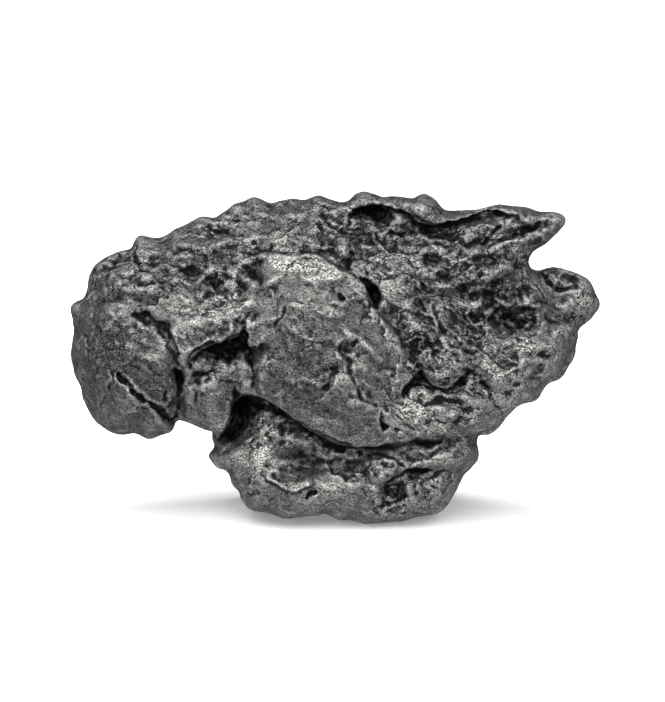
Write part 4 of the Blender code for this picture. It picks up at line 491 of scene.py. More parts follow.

# Colour patches, partly dark scale and worn bright metal, partly painted shade below zero and painted light
# and highlights above: (strength, then the oval as for SPOTS).
SCALE_SHADE_AND_LIGHT = [
    # broad patches: weathering, painted shade under overhangs and painted light on shaded parts
    (.4, 14.5, 17.5, 4.5, 4), (-.35, 0, 45.6, 9, 3), (-.35, -36, 37, 4, 5), (-.3, -33, 26, 3, 5),
    (.3, -2, 4, 5, 3), (.3, -14, 13, 3, 5), (-.25, 14, 46, 4, 3), (.4, 26, 31, 4, 1.6, -8),
    (-.5, 34.6, 36.3, 1.6, 1, -35), (.3, -15, 34.8, 3, 1.4), (1, -17, 32.7, 2.2, 1.5, -10),
    (.4, -12, 14, 2.4, 3, -20), (-.35, 31, 44.5, 3, 2.2), (-.3, -22, 36, 4, 4), (.25, 27, 17.5, 4, 2.2, 30),
    (.25, 12, 4, 4, 3), (-.45, -30, 26, 4.5, 4.5), (-.5, -19, 28.6, 3.4, 1.4, 15),
    (-.5, -17.5, 25, 3, 1.2, 15), (.8, -12, 15.4, 1.2, 1.8), (.5, -9.6, 13.4, 3, 1.4, -30),
    (-.25, -19, 17.5, 3, 3), (.3, 30, 26, 3, 3), (-.9, 23, 44.8, 4.6, 1.3, 8), (-.8, 28.5, 44.3, 3, .8, 12),
    (-.7, 15.5, 43.4, 4.5, 1.4), (.3, 21.4, 43.6, 1.6, .9, 40), (-.5, 33, 37.3, 3, .8, -12),
    (-.7, 36, 36.6, 1.4, .7, -50), (.4, 37.2, 33.4, 1.2, 1.6), (-.25, 31.5, 32.5, 2.6, 1.6),
    (.3, 20, 20.5, 4, 3), (.3, 33, 24, 2, 3), (.5, 9.2, 3.2, 1.4, 1, 20), (.35, 2.5, 8.2, 1.4, .9),
    (.3, 17, 5, 3, 3, 40), (-.5, 5, 44.5, 5, 2.2), (.35, 14, 16.5, 6, 3.2), (.4, 26, 20.5, 5, 2.6, 35),
    (.35, -15.5, 15.5, 2, 3.2), (-.4, 22.5, 45.3, 7, 1.6, 4), (-.6, -4.5, 25, 6, 7.5, -20),
    (-.5, -33.5, 27, 4, 5), (-.35, 2, 44, 6, 3), (-.3, -26, 21, 3, 4), (-.25, 22, 38, 7, 5, 20),
    (.2, 12, 17, 6, 3), (.2, -20, 17, 3, 4), (.25, -12, 10, 5, 5), (.2, 24, 18, 4, 3, 30),
    (-.2, -28, 38, 5, 3, 20),
    # left lobe
    (.9, -25.4, 26.7, 1.1, .9, -40), (.6, -30.4, 28.7, .9, .5, -20), (-.6, -29.5, 29.6, .7, .4),
    (-.5, -27.7, 28, .5, .3), (.2, -34.5, 17.5, 1.2, .8), (-.35, -32.5, 14, 3, .35, -10),
    (-.4, -25.3, 19.2, .6, .8), (-.5, -38, 32, .7, 1), (-.4, -36, 38.3, .8, .6, 45),
    # upper left
    (-.6, -33, 38.7, 1.7, .7, 30), (-.5, -22.5, 41, 1.8, .5), (-.6, -21.4, 37.6, 1.3, .9),
    (-.7, -18.8, 44.6, .9, .5, 20), (-.8, -16.9, 43.8, 1.6, .7, 10), (.5, -31.5, 37.8, .9, .7),
    (.4, -30.2, 38, .5, .8), (.6, -28.6, 36.8, 1.1, .35, -15), (.5, -26.8, 37.6, .5, .4),
    (.5, -25.8, 36.8, .8, .3, -15), (.6, -29.5, 35.1, 1.6, .25, -5), (.3, -32, 36, 1.3, .2),
    (.4, -27, 42.3, 1.8, .4), (.4, -23.2, 43.3, 1.5, .35, 5), (.3, -23.5, 35.8, .5, .8),
    (-.35, -27, 39.4, 2, 1, -10), (1, -18, 32.9, 2.6, 1.8, -10), (-.55, -18, 36.2, 1.2, 1.1),
    (-.85, -13.8, 35.2, .8, .8), (-.6, -13.4, 38.4, 1, .8), (-.6, -12.2, 37.3, 2, .8, -45),
    (-.45, -11.8, 34.4, 1.2, .5), (-.5, -17.2, 40, 3, .5, -8), (.6, -18.3, 38.4, 1.1, .5),
    (.5, -15.3, 37.5, .7, .5), (.5, -13.8, 37.1, .6, .4), (.5, -12.4, 35.7, .5, .5),
    (.6, -9.3, 36.4, .8, .3, 25), (.7, -20.5, 29.9, 1, .35, -15), (.5, -12.7, 30.3, .6, .6),
    (.5, -14.4, 32.4, .4, .6), (.4, -12.9, 33.2, .4, .5), (.35, -8.6, 39, 3, .7, -12),
    (.4, -14.5, 42, 1.5, .7), (.4, -19.5, 41.2, 1.2, .3, -20), (.3, -12, 41.3, 1, .3),
    (.5, -8.5, 41.1, .8, .4), (.4, -6.4, 40.7, 1.2, .35), (-.2, -10, 44.5, 3.5, 1.4),
    (.3, -21.5, 34, 1.4, .7, -10), (.35, -24, 38, .8, .5, -30),
    # flap and pendant lip
    (.7, -16.2, 23.7, .6, .4), (.3, -19.2, 24.7, 1.2, .5), (-.4, -12.5, 23, .4, 1.9),
    (.3, -11.8, 19.9, .9, .5), (-.4, -14.4, 27, .9, 1.8, -15),
    # centre mass
    (1, -3.5, 38.3, 3.8, 1.2, -12), (.6, -2, 36.8, 2.6, .35, 3), (.7, -6.1, 32.5, 1, .5),
    (.6, -3.2, 31.8, .9, .35), (.6, 0, 31.4, 1.4, .3, -8), (-.3, -2.3, 35.4, 2.6, .7),
    (-.4, 1.2, 26, .5, .7), (-.5, 4.6, 27.7, .5, .5), (.5, 4.8, 26.3, 1.4, .35, -40),
    (.5, 2.4, 25.3, .7, .3, -30), (.6, 2.8, 18.1, 1, .3), (.5, 5, 17.2, .9, .2),
    (.35, -3, 14.6, 1.6, .5, -35), (.3, -6.2, 16.4, 1, .5, -45), (.25, 4, 12.6, 3, .5),
    (.5, 6.2, 30.6, 1, .4, -25), (.3, -8.3, 17.8, 1.2, .5, -40), (-.35, 3.4, 19.6, .5, .9),
    (-.4, 1.4, 33.6, .8, .8), (.35, 8.6, 26.2, 1, 1.4, 20), (.3, 7.8, 27.6, .8, .8),
    (.45, 11.6, 24.4, 1.3, .6),
    # top
    (-.9, 5.6, 46.4, 2.8, 1.1, 5), (-.5, -1.4, 45.8, .5, 1.3), (-.6, -2.3, 44, .8, 1),
    (-.5, -6.3, 47.3, .6, .6), (.4, .9, 43, .8, .9), (.15, 3.4, 44, 1.2, 1), (.5, 8.8, 36.2, 1.6, 1.5),
    (.2, -3, 46.5, .8, 1.5, -20), (.6, 7, 34, .3, 1.2), (.7, 6, 32, .5, .35, 30), (.4, 5, 41.3, 1, .3),
    (.4, 6.2, 39.6, 1, .35, -25), (.3, 9.5, 40.6, .7, 1.2), (-.6, 7.8, 38.4, 2.4, .4, -4),
    (-.4, 7, 40.7, .9, .7), (-.5, 9, 31.6, 1.4, 1), (-.7, 9.3, 43.3, 1.1, .5),
    (-.9, 5.6, 34.6, .8, 1.7, -30),
    # right of the centre mass
    (.7, 15.9, 22.2, 1.3, .3), (.2, 17.3, 24.2, 1.8, .8), (.5, 22, 24.2, 1.3, .9), (.5, 22.3, 26.3, .5, 1),
    (.6, 12.4, 19.7, 1.2, .45), (.7, 11.1, 17.7, 1.2, .5), (.6, 15, 17.2, 1.6, .25),
    (.6, 18.6, 19.3, 1.1, .3, -20), (.4, 22, 18, 1.3, .7, -25), (.6, 19.8, 15.3, 1.2, .3),
    (.7, 24.8, 22, 1.5, .4, 25), (.4, 14.9, 29.4, .8, .7), (.4, 13.8, 28.2, .8, .4), (.4, 21, 28.4, 1, .3),
    (-.4, 15.8, 20.1, 3.4, .4), (-.6, 12.6, 22, .4, .8), (-.6, 10.5, 19.6, .4, .8),
    (-.6, 15.6, 18.6, 2.4, .4), (-.7, 18.6, 21.2, .7, .7), (-.8, 22.3, 20.8, 1, .8, -40),
    (-.6, 13.2, 26.7, 1, .7), (-.8, 26, 24.1, 1, .3, -10), (-.35, 20.5, 26.2, 1.6, .8),
    (.3, 10, 29.4, 1.4, 1.2), (-.8, 14, 43.8, 5, 1.1, -3), (-.5, 21.5, 45.3, 3, .6, 12),
    (-.4, 8, 47.5, 4, .5, -8), (-.7, 18.6, 44.9, 1.6, .5, 8), (-.6, 22.8, 46.5, 2.4, .3, 4),
    (-.85, 14.8, 39.6, 1.8, .7, -20), (-.8, 16.4, 37.4, 1, .6), (-.5, 22.4, 39.6, 2, .6),
    (-.6, 19.1, 35.4, .6, .5), (-.6, 25, 34.4, 3, .8, -8), (-.4, 23.5, 33, 1.8, 1), (-.5, 10.8, 34, .9, .5),
    (-.5, 13, 36.8, .7, .6), (-.9, 16.3, 29.4, .9, .5), (.3, 12.2, 34.2, .5, .9), (.3, 12.4, 39.4, .4, 1.2),
    (.5, 16, 41, .7, .5, -30), (.7, 21, 40.8, .5, .3), (.6, 19, 39.4, 1, .25), (.5, 16.5, 35.6, 1.6, .35),
    (.4, 21.3, 36.6, .9, .5, -30), (.6, 23.6, 37.7, .8, .25, 25), (.6, 25.6, 38.3, .9, .3),
    (.6, 24.2, 41.4, .9, .25, 15), (.6, 25.8, 42.4, .7, .25, 25), (.4, 10.8, 47.6, 1.4, .3, -15),
    (.4, 14, 46.9, .9, .4, -20), (.6, 27.5, 42.1, .8, 1), (.5, 20.7, 33.1, .9, .4),
    (.6, 19.2, 31.6, .7, .3), (.4, 14.8, 30.8, .4, .7), (.2, 16, 31.9, 1, .8), (.3, 11.7, 31.8, .7, .5),
    # blade tip
    (.7, 28.4, 45.4, 1, .35, 15), (.5, 31, 46.3, 1.6, .3), (.35, 31.6, 43.8, 1, .4, 15),
    (-.6, 29, 44.1, 1.8, .3, 15), (-.6, 29.5, 42.1, 1.2, .4), (-.8, 23.6, 43.9, .4, 1.3, -40),
    (-.6, 26.6, 44, 1.8, .5, 5), (.3, 25, 47.2, 3, .2),
    # right end and knob
    (-.5, 26.8, 30.6, 4.2, 1.5, -8), (-.45, 25, 32, 3.4, 1.6, 30), (.7, 28.8, 33.2, .9, .7),
    (.4, 30, 32.6, .5, .6), (.6, 26.2, 32, .8, .3, -20), (.5, 29.5, 26.6, 2.3, .6),
    (-.5, 30.9, 25.4, 1.2, .4), (.5, 31, 24.2, 1.2, .25, -20), (-.7, 30.2, 23.1, .9, .6),
    (.5, 28.3, 22.6, 1.6, .6, 25), (.6, 30.5, 22, .6, .5), (.5, 34.2, 29, 1.8, .5, 30),
    (.5, 36.6, 33.6, 1.1, 1.4), (-.8, 34.6, 36.3, 1.4, .8, -35), (-.4, 32, 36.4, 1.6, 1, -45),
    (-.5, 33.6, 35.2, 1.2, .4), (.5, 34.6, 37.9, 1, .25, -15), (-.3, 31, 33.6, 1, .8),
    (.3, 31, 36, 1.2, .8, -45), (-.5, 27.2, 38.8, .8, .4), (-.4, 32.5, 37.4, 1, .6, -30),
    # foot
    (.85, -6.4, 5.9, 2, .45, -5), (.6, -12.9, 14.6, .4, 1), (.3, -10.5, 15.3, 2, .9), (.12, -12.5, 9, 4, 3),
    (-.45, -4, 8, 5, .7), (-.35, -8, 10.4, 2, .8), (-.4, -8.4, 13, .7, .3),
    (-.8, -10.5, 17.9, 1.8, .6, -20), (-.85, -6.8, 15.9, 2, .5, -38), (-.85, -3.4, 13.5, 2, .5, -32),
    (-.85, 0, 11.8, 1.6, .6, -15), (-.6, 2.5, 8.6, 1.6, 1), (-.5, 4.2, 7.2, .6, .9),
    (-.8, 12.4, 8, 1.5, .3), (-.6, 9.8, 5.6, .5, .7), (-.8, 9, 3.5, 1, .4, 30), (-.7, 13, 12, 2.2, .35),
    (-.5, 18.2, 10.8, .7, .6), (.15, 14.5, 6.3, 1.8, 1), (.9, 10.2, 3.5, .6, .35),
    (.8, 8.9, 2.6, 1, .25, 15), (.6, 12.6, 10.7, .6, .3), (.7, 15, 10.7, .5, .2, 25),
    (.5, 5.6, 5.4, .3, .8), (.5, 7.5, 1.7, .7, .3), (-.1, 7, 8.4, 2.4, 1, 10), (.2, 17, 9.8, 2.4, .7, 25),
]

# Areas of broken, grainy skin: (strength, outline). The rest, and what is below zero, is rubbed smooth.
ROUGH_AREAS = [
    (1, [(-38, 33), (-35, 39), (-27, 42.5), (-18, 45.5), (-10, 48), (2, 48), (8, 47.5), (12, 45), (20, 44),
         (28, 42), (29, 37), (30.5, 31), (31, 27), (26, 22), (24, 17), (20, 15), (13, 15.5), (10, 20),
         (10.5, 25), (8, 30), (4.5, 34.5), (0, 39), (-6, 41), (-10, 39.5), (-12.5, 35), (-14, 33),
         (-20, 34.5), (-26, 34), (-32, 34)]),
    (.8, [(6, 1), (5, 5.5), (9, 7.5), (17, 8), (17.5, 5), (14, 1.5)]),
    (.6, [(10.5, 9.5), (12, 12.5), (19, 13), (20, 10.5), (15, 8.8)]),
    (.6, [(-22, 23.5), (-20.5, 26), (-14.5, 28.5), (-12.5, 25.5), (-17, 22)]),
    (-.85, [(-24.5, 30.1), (-21, 31.2), (-14.2, 31), (-13, 29.4), (-17, 27.8), (-20.9, 26), (-21.7, 23.7),
            (-23.4, 25.5)]),
    (-.6, [(-14, 42), (-12, 46.5), (-4, 48), (-1, 46), (-2, 42.5), (-8, 41.5)]),
    (-.8, [(19.4, 42.6), (20, 44.2), (22.6, 45.2), (24.6, 44.6), (23.4, 43), (21.4, 41.8)]),
    (-.7, [(4.2, 8.6), (5.6, 10.2), (8.6, 10), (10.2, 8.5), (8.6, 7.2), (6.6, 6.1), (5, 7)]),
]


def smooth_curve(points, closed, steps=5):
    """A smooth curve through the points."""
    knots = np.array(points, float)
    if closed:
        ends = np.vstack([knots[-1], knots, knots[:2]])
    else:
        ends = np.vstack([2 * knots[0] - knots[1], knots, 2 * knots[-1] - knots[-2]])
    curve = []
    for i in range(1, len(ends) - 2):
        a, b, c, d = ends[i - 1 : i + 3]
        for t in np.arange(steps) / steps:
            bend = (2 * a - 5 * b + 4 * c - d) * t**2 + (3 * b - a - 3 * c + d) * t**3
            curve.append(0.5 * (2 * b + (c - a) * t + bend))
    if not closed:
        curve.append(knots[-1])
    return np.array(curve)


def from_curve(spots, curve, closed):
    """Each spot's distance from the curve, positive to its left, its share of the length, and its left."""
    starts = curve if closed else curve[:-1]
    runs = (np.roll(curve, -1, axis=0) if closed else curve[1:]) - starts
    lengths = np.linalg.norm(runs, axis=1)
    before = np.concatenate([[0], np.cumsum(lengths)[:-1]]) / lengths.sum()
    best = np.full(len(spots), np.inf)
    side = np.ones(len(spots))
    share = np.zeros(len(spots))
    left = np.zeros((len(spots), 2))
    for start, run, length, sofar in zip(starts, runs, lengths, before):
        off = spots - start
        t = np.clip(off @ run / length**2, 0, 1)
        gap = np.linalg.norm(off - t[:, None] * run, axis=1)
        nearer = gap < best
        best[nearer] = gap[nearer]
        side[nearer] = np.where(run[0] * off[nearer, 1] > run[1] * off[nearer, 0], 1, -1)
        share[nearer] = sofar + t[nearer] * length / lengths.sum()
        left[nearer] = np.array([-run[1], run[0]]) / length
    return best * side, share, left


def ease(values, low, high):
    """0 below low, 1 above high and smooth between."""
    t = np.clip((values - low) / (high - low), 0, 1)
    return t * t * (3 - 2 * t)


def scatter(cells, seed):
    """A fixed random number from 0 to 1 for each whole-numbered cell."""
    x, y, z = cells.astype(np.int64).T
    mix = (x * 374761393 + y * 668265263 + z * 1440662683 + seed * 974634777) & 0xFFFFFFFF
    mix = ((mix ^ (mix >> 13)) * 1274126177) & 0xFFFFFFFF
    mix = ((mix ^ (mix >> 15)) * 2246822519) & 0xFFFFFFFF
    return (mix ^ (mix >> 16)) / 4294967296.0


def scattered(cells, seeds):
    """Three such numbers for each cell, one to a column."""
    return np.column_stack([scatter(cells, seed) for seed in seeds])


def swells(points, size, seed):
    """Smooth noise from about -1 to 1 whose swells are about this size."""
    places = points / size
    cell = np.floor(places)
    part = places - cell
    fade = part**3 * (part * (part * 6 - 15) + 10)
    total = np.zeros(len(points))
    for corner in np.ndindex(2, 2, 2):
        corner = np.array(corner)
        slope = scattered(cell + corner, (seed, seed + 101, seed + 202)) * 2 - 1
        weight = np.prod(np.where(corner, fade, 1 - fade), axis=1)
        total += weight * ((part - corner) * slope).sum(axis=1)
    return total * 1.8


def layered(points, size, seed, layers=3, fall=0.5):
    """Noise with finer and weaker layers on top."""
    return sum(fall**k * swells(points, size / 2**k, seed + 7 * k) for k in range(layers))


def sway(points, size, seeds):
    """Noise in every direction, which bends what is laid on the points."""
    return np.column_stack([layered(points, size, seed, 2) for seed in seeds])


def wander(points):
    """A small sideways drift that keeps drawn strokes from looking ruled."""
    drift = [0.42 * swells(points, 1.9, seed) + 0.16 * swells(points, 0.7, seed + 5) for seed in (81, 91)]
    return np.column_stack(drift)


def strewn(points, size, seed):
    """The 27 cells of this size round each point, with the way to the seed that lies in each of them."""
    places = points / size
    cell = np.floor(places)
    for step in np.ndindex(3, 3, 3):
        grid = cell + np.array(step) - 1
        yield grid, places - (grid + scattered(grid, (seed, seed + 303, seed + 606)))


def nearest_seed(points, size, seed):
    """Distance to the nearest seed, in cells."""
    best = np.full(len(points), 9.0)
    for _, away in strewn(points, size, seed):
        best = np.minimum(best, (away**2).sum(axis=1))
    return np.sqrt(best)


def pits(points, size, seed, width):
    """One pit round each seed, -1 at its bottom and 0 at this width, in cells."""
    return -np.clip(1 - nearest_seed(points, size, seed) / width, 0, 1)


def plates(points, size, seed):
    """Tilted flakes of about this size, from about -1 to 1, each stepping up or down at its edge."""
    best = np.full(len(points), 9.0)
    height = np.zeros(len(points))
    for grid, away in strewn(points, size, seed):
        tilt = scattered(grid, (seed + 11, seed + 22, seed + 33)) - 0.5
        gap = (away**2).sum(axis=1)
        nearer = gap < best
        best[nearer] = gap[nearer]
        flake = 1.6 * (away * tilt).sum(axis=1) + scatter(grid, seed + 44) - 0.5
        height[nearer] = flake[nearer]
    return height


def only(piece):
    """Selects this piece alone."""
    bpy.ops.object.select_all(action="DESELECT")
    piece.select_set(True)
    bpy.context.view_layer.objects.active = piece


def apply_all(piece):
    """Applies the piece's modifiers in turn."""
    bpy.context.view_layer.objects.active = piece
    for modifier in list(piece.modifiers):
        bpy.ops.object.modifier_apply(modifier=modifier.name)


def remesh(piece, voxel, smoothing=0):
    """One even skin with faces of about this size, softened if asked."""
    grid = piece.modifiers.new("grid", "REMESH")
    grid.mode = "VOXEL"
    grid.voxel_size = voxel * MM
    if smoothing:
        soften = piece.modifiers.new("soften", "SMOOTH")
        soften.factor = 0.5
        soften.iterations = smoothing
    apply_all(piece)


def points_of(mesh):
    """Where the mesh's points lie, in metres."""
    raw = np.empty(len(mesh.vertices) * 3, np.float32)
    mesh.vertices.foreach_get("co", raw)
    return raw.reshape(-1, 3)


def move_points(mesh, places):
    """Puts the mesh's points at these places, in metres."""
    mesh.vertices.foreach_set("co", places.astype(np.float32).ravel())
    mesh.update()


class Skin:
    """The piece's points in the face's millimetres, worked by strokes and written back."""

    def __init__(self, piece):
        self.mesh = piece.data
        self.points = (points_of(self.mesh) / MM - FACE_ORIGIN) @ TO_FACE
        normals = np.empty(len(self.points) * 3, np.float32)
        self.mesh.vertex_normals.foreach_get("vector", normals)
        self.normals = normals.reshape(-1, 3).astype(float) @ TO_FACE
        self.spots = self.points[:, :2] + wander(self.points)
        self.facing = ease(self.normals[:, 2], 0.0, 0.35)
        self.tatters = layered(self.points, 1.5, 95, 3, 0.7)
        self.lift = np.zeros(len(self.points))
        self.slide = np.zeros((len(self.points), 2))

    def behind(self, low, high):
        """1 where the skin faces the viewer less than low, and 0 where it does so more than high."""
        return 1 - ease(self.normals[:, 2], low, high)

    def off_the_flat(self):
        """0 on the flat under the foot and 1 a little above it."""
        height = self.points @ (TO_FACE.T @ (0, 0, 1)) + FACE_ORIGIN[2]
        return ease(height, FLAT_HEIGHT, 3 * FLAT_HEIGHT)

    def near(self, curve, margin):
        """The points in front that lie within this margin of the curve's own box."""
        inside = (self.spots > curve.min(axis=0) - margin) & (self.spots < curve.max(axis=0) + margin)
        return np.flatnonzero(inside.all(axis=1) & (self.facing > 0))

    def along(self, path, margin):
        """The points near a path, how far they are across it, a fade at its ends, and which way is left."""
        curve = smooth_curve(path, closed=False)
        picks = self.near(curve, margin)
        across, share, left = from_curve(self.spots[picks], curve, closed=False)
        ends = ease(np.minimum(share, 1 - share), -0.02, 0.12)
        return picks, across, ends, left

    def area(self, outline, edge):
        """1 inside the outline, 0 outside and smooth over its edge."""
        curve = smooth_curve(outline, closed=True)
        around = np.roll(curve, -1, axis=0)
        clockwise = (curve[:, 0] * around[:, 1] - around[:, 0] * curve[:, 1]).sum() < 0
        box = (self.spots > curve.min(axis=0) - edge) & (self.spots < curve.max(axis=0) + edge)
        picks = np.flatnonzero(box.all(axis=1))
        across, _, _ = from_curve(self.spots[picks], curve, closed=True)
        share = np.zeros(len(self.spots))
        share[picks] = ease(-across if clockwise else across, -edge, edge)
        return share

    def oval(self, u, v, wide, tall, turn=0):
        """The points near a torn-edged oval and how far inside it they lie, 1 at its middle."""
        picks = self.near(np.array([[u, v]]), 2.0 * max(wide, tall))
        away = self.spots[picks] - (u, v)
        angle = math.radians(turn)
        along = away @ (math.cos(angle), math.sin(angle)) / wide
        over = away @ (-math.sin(angle), math.cos(angle)) / tall
        torn = 1 + 0.55 * self.tatters[picks]
        return picks, np.exp(-(((along**2 + over**2) * torn**2) ** 1.5))

    def crack(self, depth, path):
        widths = [place[2] for place in path]
        curve = smooth_curve(path, closed=False)
        picks = self.near(curve[:, :2], 5 * max(widths))
        across, share, _ = from_curve(self.spots[picks], curve[:, :2], closed=False)
        run = np.concatenate([[0], np.cumsum(np.linalg.norm(np.diff(curve[:, :2], axis=0), axis=1))])
        width = 0.88 * np.interp(share, run / run[-1], curve[:, 2])
        depth = depth * np.minimum(1, width / (0.5 * max(widths)))
        cut = np.exp(-((np.abs(across) / width) ** 2.5))
        shoulders = np.exp(-(((np.abs(across) - 2.2 * width) / (1.1 * width)) ** 2))
        self.lift[picks] += depth * (0.12 * shoulders - cut)

    def hollow(self, depth, outline, wall=0.25):
        self.lift -= 0.6 * depth * self.area(outline, wall)

    def lip(self, height, drop, reach, path, gap=0.7, lean=0.45):
        picks, across, ends, left = self.along(path, 4.0)
        high = ease(across, -0.15, 0.15)
        away = np.abs(across)
        self.lift[picks] += ends * height * np.exp(-away / reach) * high
        self.lift[picks] -= ends * drop * np.exp(-((away / gap) ** 1.5)) * (1 - high)
        over = lean * high * np.exp(-((away / 0.9) ** 2)) * min(1.0, height)
        self.slide[picks] -= left * (ends * over)[:, None]

    def ridge(self, width, height, path):
        picks, across, ends, _ = self.along(path, 5 * width)
        uneven = 0.65 + 0.5 * self.tatters[picks]
        self.lift[picks] += ends * height * uneven * np.exp(-((across / (1.3 * width)) ** 2))

    def spot(self, height, *oval):
        picks, share = self.oval(*oval)
        self.lift[picks] += 0.6 * height * share

    def grooves(self, u, v, wide, tall, turn, pitch=0.75, height=0.07):
        picks, share = self.oval(u, v, wide, tall, turn)
        across = (self.spots[picks] - (u, v)) @ (-math.sin(math.radians(turn)), math.cos(math.radians(turn)))
        uneven = across + 0.5 * self.tatters[picks]
        self.lift[picks] += height * share * np.sin(2 * math.pi * uneven / pitch)

    def nub(self, u, v, radius, height):
        away = np.linalg.norm(self.points[:, :2] - (u, v), axis=1)
        picks = np.flatnonzero(away < 3 * radius)
        edgewise = 1 - ease(np.abs(self.normals[picks, 2]), 0.55, 0.95)
        push = 0.6 * height * edgewise * np.exp(-((away[picks] / (1.3 * radius)) ** 2))
        self.points[picks] += self.normals[picks] * push[:, None]

    def push(self, amounts):
        """Moves every point out of the skin, or into it below zero."""
        self.points += self.normals * amounts[:, None]

    def write(self):
        """Puts what the strokes have moved into the mesh. Lifts and slides work on the front alone."""
        moved = self.points.copy()
        moved[:, 2] += self.lift * self.facing
        moved[:, :2] += self.slide * self.facing[:, None]
        move_points(self.mesh, (FACE_ORIGIN + moved @ TO_FACE.T) * MM)


def roughness_zones(skin):
    """How broken the skin is at each point: the mapped areas in front, and all of the back and sides."""
    broken = np.zeros(len(skin.points))
    for strength, outline in ROUGH_AREAS:
        share = skin.area(outline, 1.2)
        broken = np.maximum(broken, strength * share) if strength > 0 else broken * (1 + strength * share)
    behind = skin.behind(-0.2, 0.4)
    patches = 0.45 + 0.35 * ease(swells(skin.points, 11.0, 31), -0.3, 0.4)
    return np.maximum(broken * (1 - behind), behind * patches)


def work_skin(piece):
    """The drawn strokes."""
    skin = Skin(piece)
    kinds = [
        (skin.hollow, HOLLOWS),
        (skin.lip, LIPS),
        (skin.crack, CRACKS),
        (skin.ridge, RIDGES),
        (skin.spot, SPOTS),
        (skin.grooves, GROOVED),
        (skin.nub, NUBS),
    ]
    for draw, strokes in kinds:
        for stroke in strokes:
            draw(*stroke)
    keep = skin.off_the_flat()
    skin.lift *= keep
    skin.slide *= keep[:, None]
    skin.write()


def grain_skin(piece):
    """Swells, flakes, crumbs and pits too many to draw, coarser on broken skin, and thumb-prints behind."""
    skin = Skin(piece)
    broken = roughness_zones(skin)
    points = skin.points @ FLOW
    bent = points + 0.7 * sway(points, 2.6, (11, 12, 13))
    torn = points + 0.55 * sway(points, 1.7, (14, 15, 16))

    rolling = 0.22 * layered(points, 6.5, 61, 2)
    lumps = layered(bent, 3.4, 51, 3, 0.5)
    crumbs = layered(points, 0.85, 55, 2, 0.6)
    flakes = 0.30 * plates(torn, 4.0, 141) + 0.08 * plates(torn, 1.9, 151)
    clumps = ease(layered(points, 6.0, 21, 2), -0.25, 0.35)
    small_pits = (0.05 + 0.1 * (1 - skin.facing)) * clumps * pits(torn, 1.3, 42, 0.42)
    few_pits = 0.15 * pits(torn, 2.9, 43, 0.13)
    rough = 0.24 * lumps + 0.05 * crumbs + flakes + small_pits
    smooth = 0.18 * lumps + 0.02 * crumbs + 0.16 * plates(bent, 6.5, 161) + few_pits

    thumb_prints = -np.clip(1 - 1.6 * nearest_seed(bent, 7.5, 171) ** 2, 0, 1)
    scoops = 0.55 * layered(points, 10.0, 181, 2) - 0.15 + 0.6 * thumb_prints
    amounts = rolling + broken * rough + (1 - broken) * smooth + skin.behind(-0.4, 0.2) * scoops
    on_the_rim = np.exp(-((skin.normals[:, 2] / 0.3) ** 2))
    skin.push(amounts * (1 - 0.55 * on_the_rim) * skin.off_the_flat())
    skin.write()


def stains_shade_and_light(skin):
    """0 where old scale stays dark or shade is painted, 1 where the metal is worn bright or light and
    highlights are painted, and 0.5 between.
    """
    tone = np.zeros(len(skin.points))
    for strength, *oval in SCALE_SHADE_AND_LIGHT:
        picks, share = skin.oval(*oval)
        tone[picks] += strength * share
    # Painted shade: every sunken hollow is darkened where shade falls in it.
    for depth, outline in HOLLOWS:
        if depth > 0:
            tone -= 0.3 * skin.area(outline, 0.35)
    flecks = layered(skin.points, 0.9, 71, 2, 0.7)
    drifts = layered(skin.points, 5.0, 75, 2) * (0.22 - 0.12 * skin.facing)
    tone = np.clip(1.3 * tone, -1, 1) * skin.facing * (1 + 0.7 * flecks) + drifts + 0.14 * (1 - skin.facing)
    return 0.5 + 0.5 * np.clip(tone, -1, 1)


def links_of(mesh):
    """Both ends of every edge, and how many edges meet at each point."""
    links = np.empty(len(mesh.edges) * 2, np.int32)
    mesh.edges.foreach_get("vertices", links)
    starts, ends = links.reshape(-1, 2).T
    count = len(mesh.vertices)
    return starts, ends, np.bincount(starts, minlength=count) + np.bincount(ends, minlength=count)


def softened(points, links, rounds):
    """The points after each has moved to the middle of its neighbours, this many times."""
    starts, ends, counts = links
    for _ in range(rounds):
        total = [
            np.bincount(starts, column[ends], len(points)) + np.bincount(ends, column[starts], len(points))
            for column in points.T
        ]
        points = np.column_stack(total) / counts[:, None]
    return points


def fill_pits(piece, share, rounds):
    """In front, deep narrow pits are made shallower, as if by scale. Behind, everything is rounded off."""
    skin = Skin(piece)
    soft = softened(skin.points, links_of(piece.data), rounds)
    sunken = ((soft - skin.points) * skin.normals).sum(axis=1)
    behind = skin.behind(-0.5, 0.1)
    skin.push(share * np.clip(sunken - 0.15, 0, None) * (1 - behind))
    skin.points += 0.9 * (soft - skin.points) * behind[:, None]
    skin.write()


def swell(piece, amount):
    """The whole skin moved outwards."""
    skin = Skin(piece)
    skin.push(np.full(len(skin.points), amount))
    skin.write()


def mark_relief(piece):
    """Attributes for the metal: how raised, how stained or worn and where shade and highlights are painted,
    and how broken each point is.
    """
    mesh = piece.data
    skin = Skin(piece)
    links = links_of(mesh)
    calm = 1 - 0.38 * skin.behind(-0.3, 0.2)  # the triangles behind are longer, so relief reads deeper
    soft = skin.points
    done = 0
    marks = {}
    for name, (rounds, full) in RELIEFS.items():
        soft = softened(soft, links, rounds - done)
        done = rounds
        raised = ((skin.points - soft) * skin.normals).sum(axis=1)
        marks[name] = np.clip(0.5 + calm * raised / full, 0, 1)
    marks["stain_shade_light"] = stains_shade_and_light(skin)
    marked = np.clip(3 * np.abs(marks["stain_shade_light"] - 0.5) - 0.2, 0, 1)
    marks["broken"] = np.maximum(roughness_zones(skin), marked)
    for name, values in marks.items():
        attribute = mesh.attributes.new(name, "FLOAT", "POINT")
        attribute.data.foreach_set("value", values.astype(np.float32))


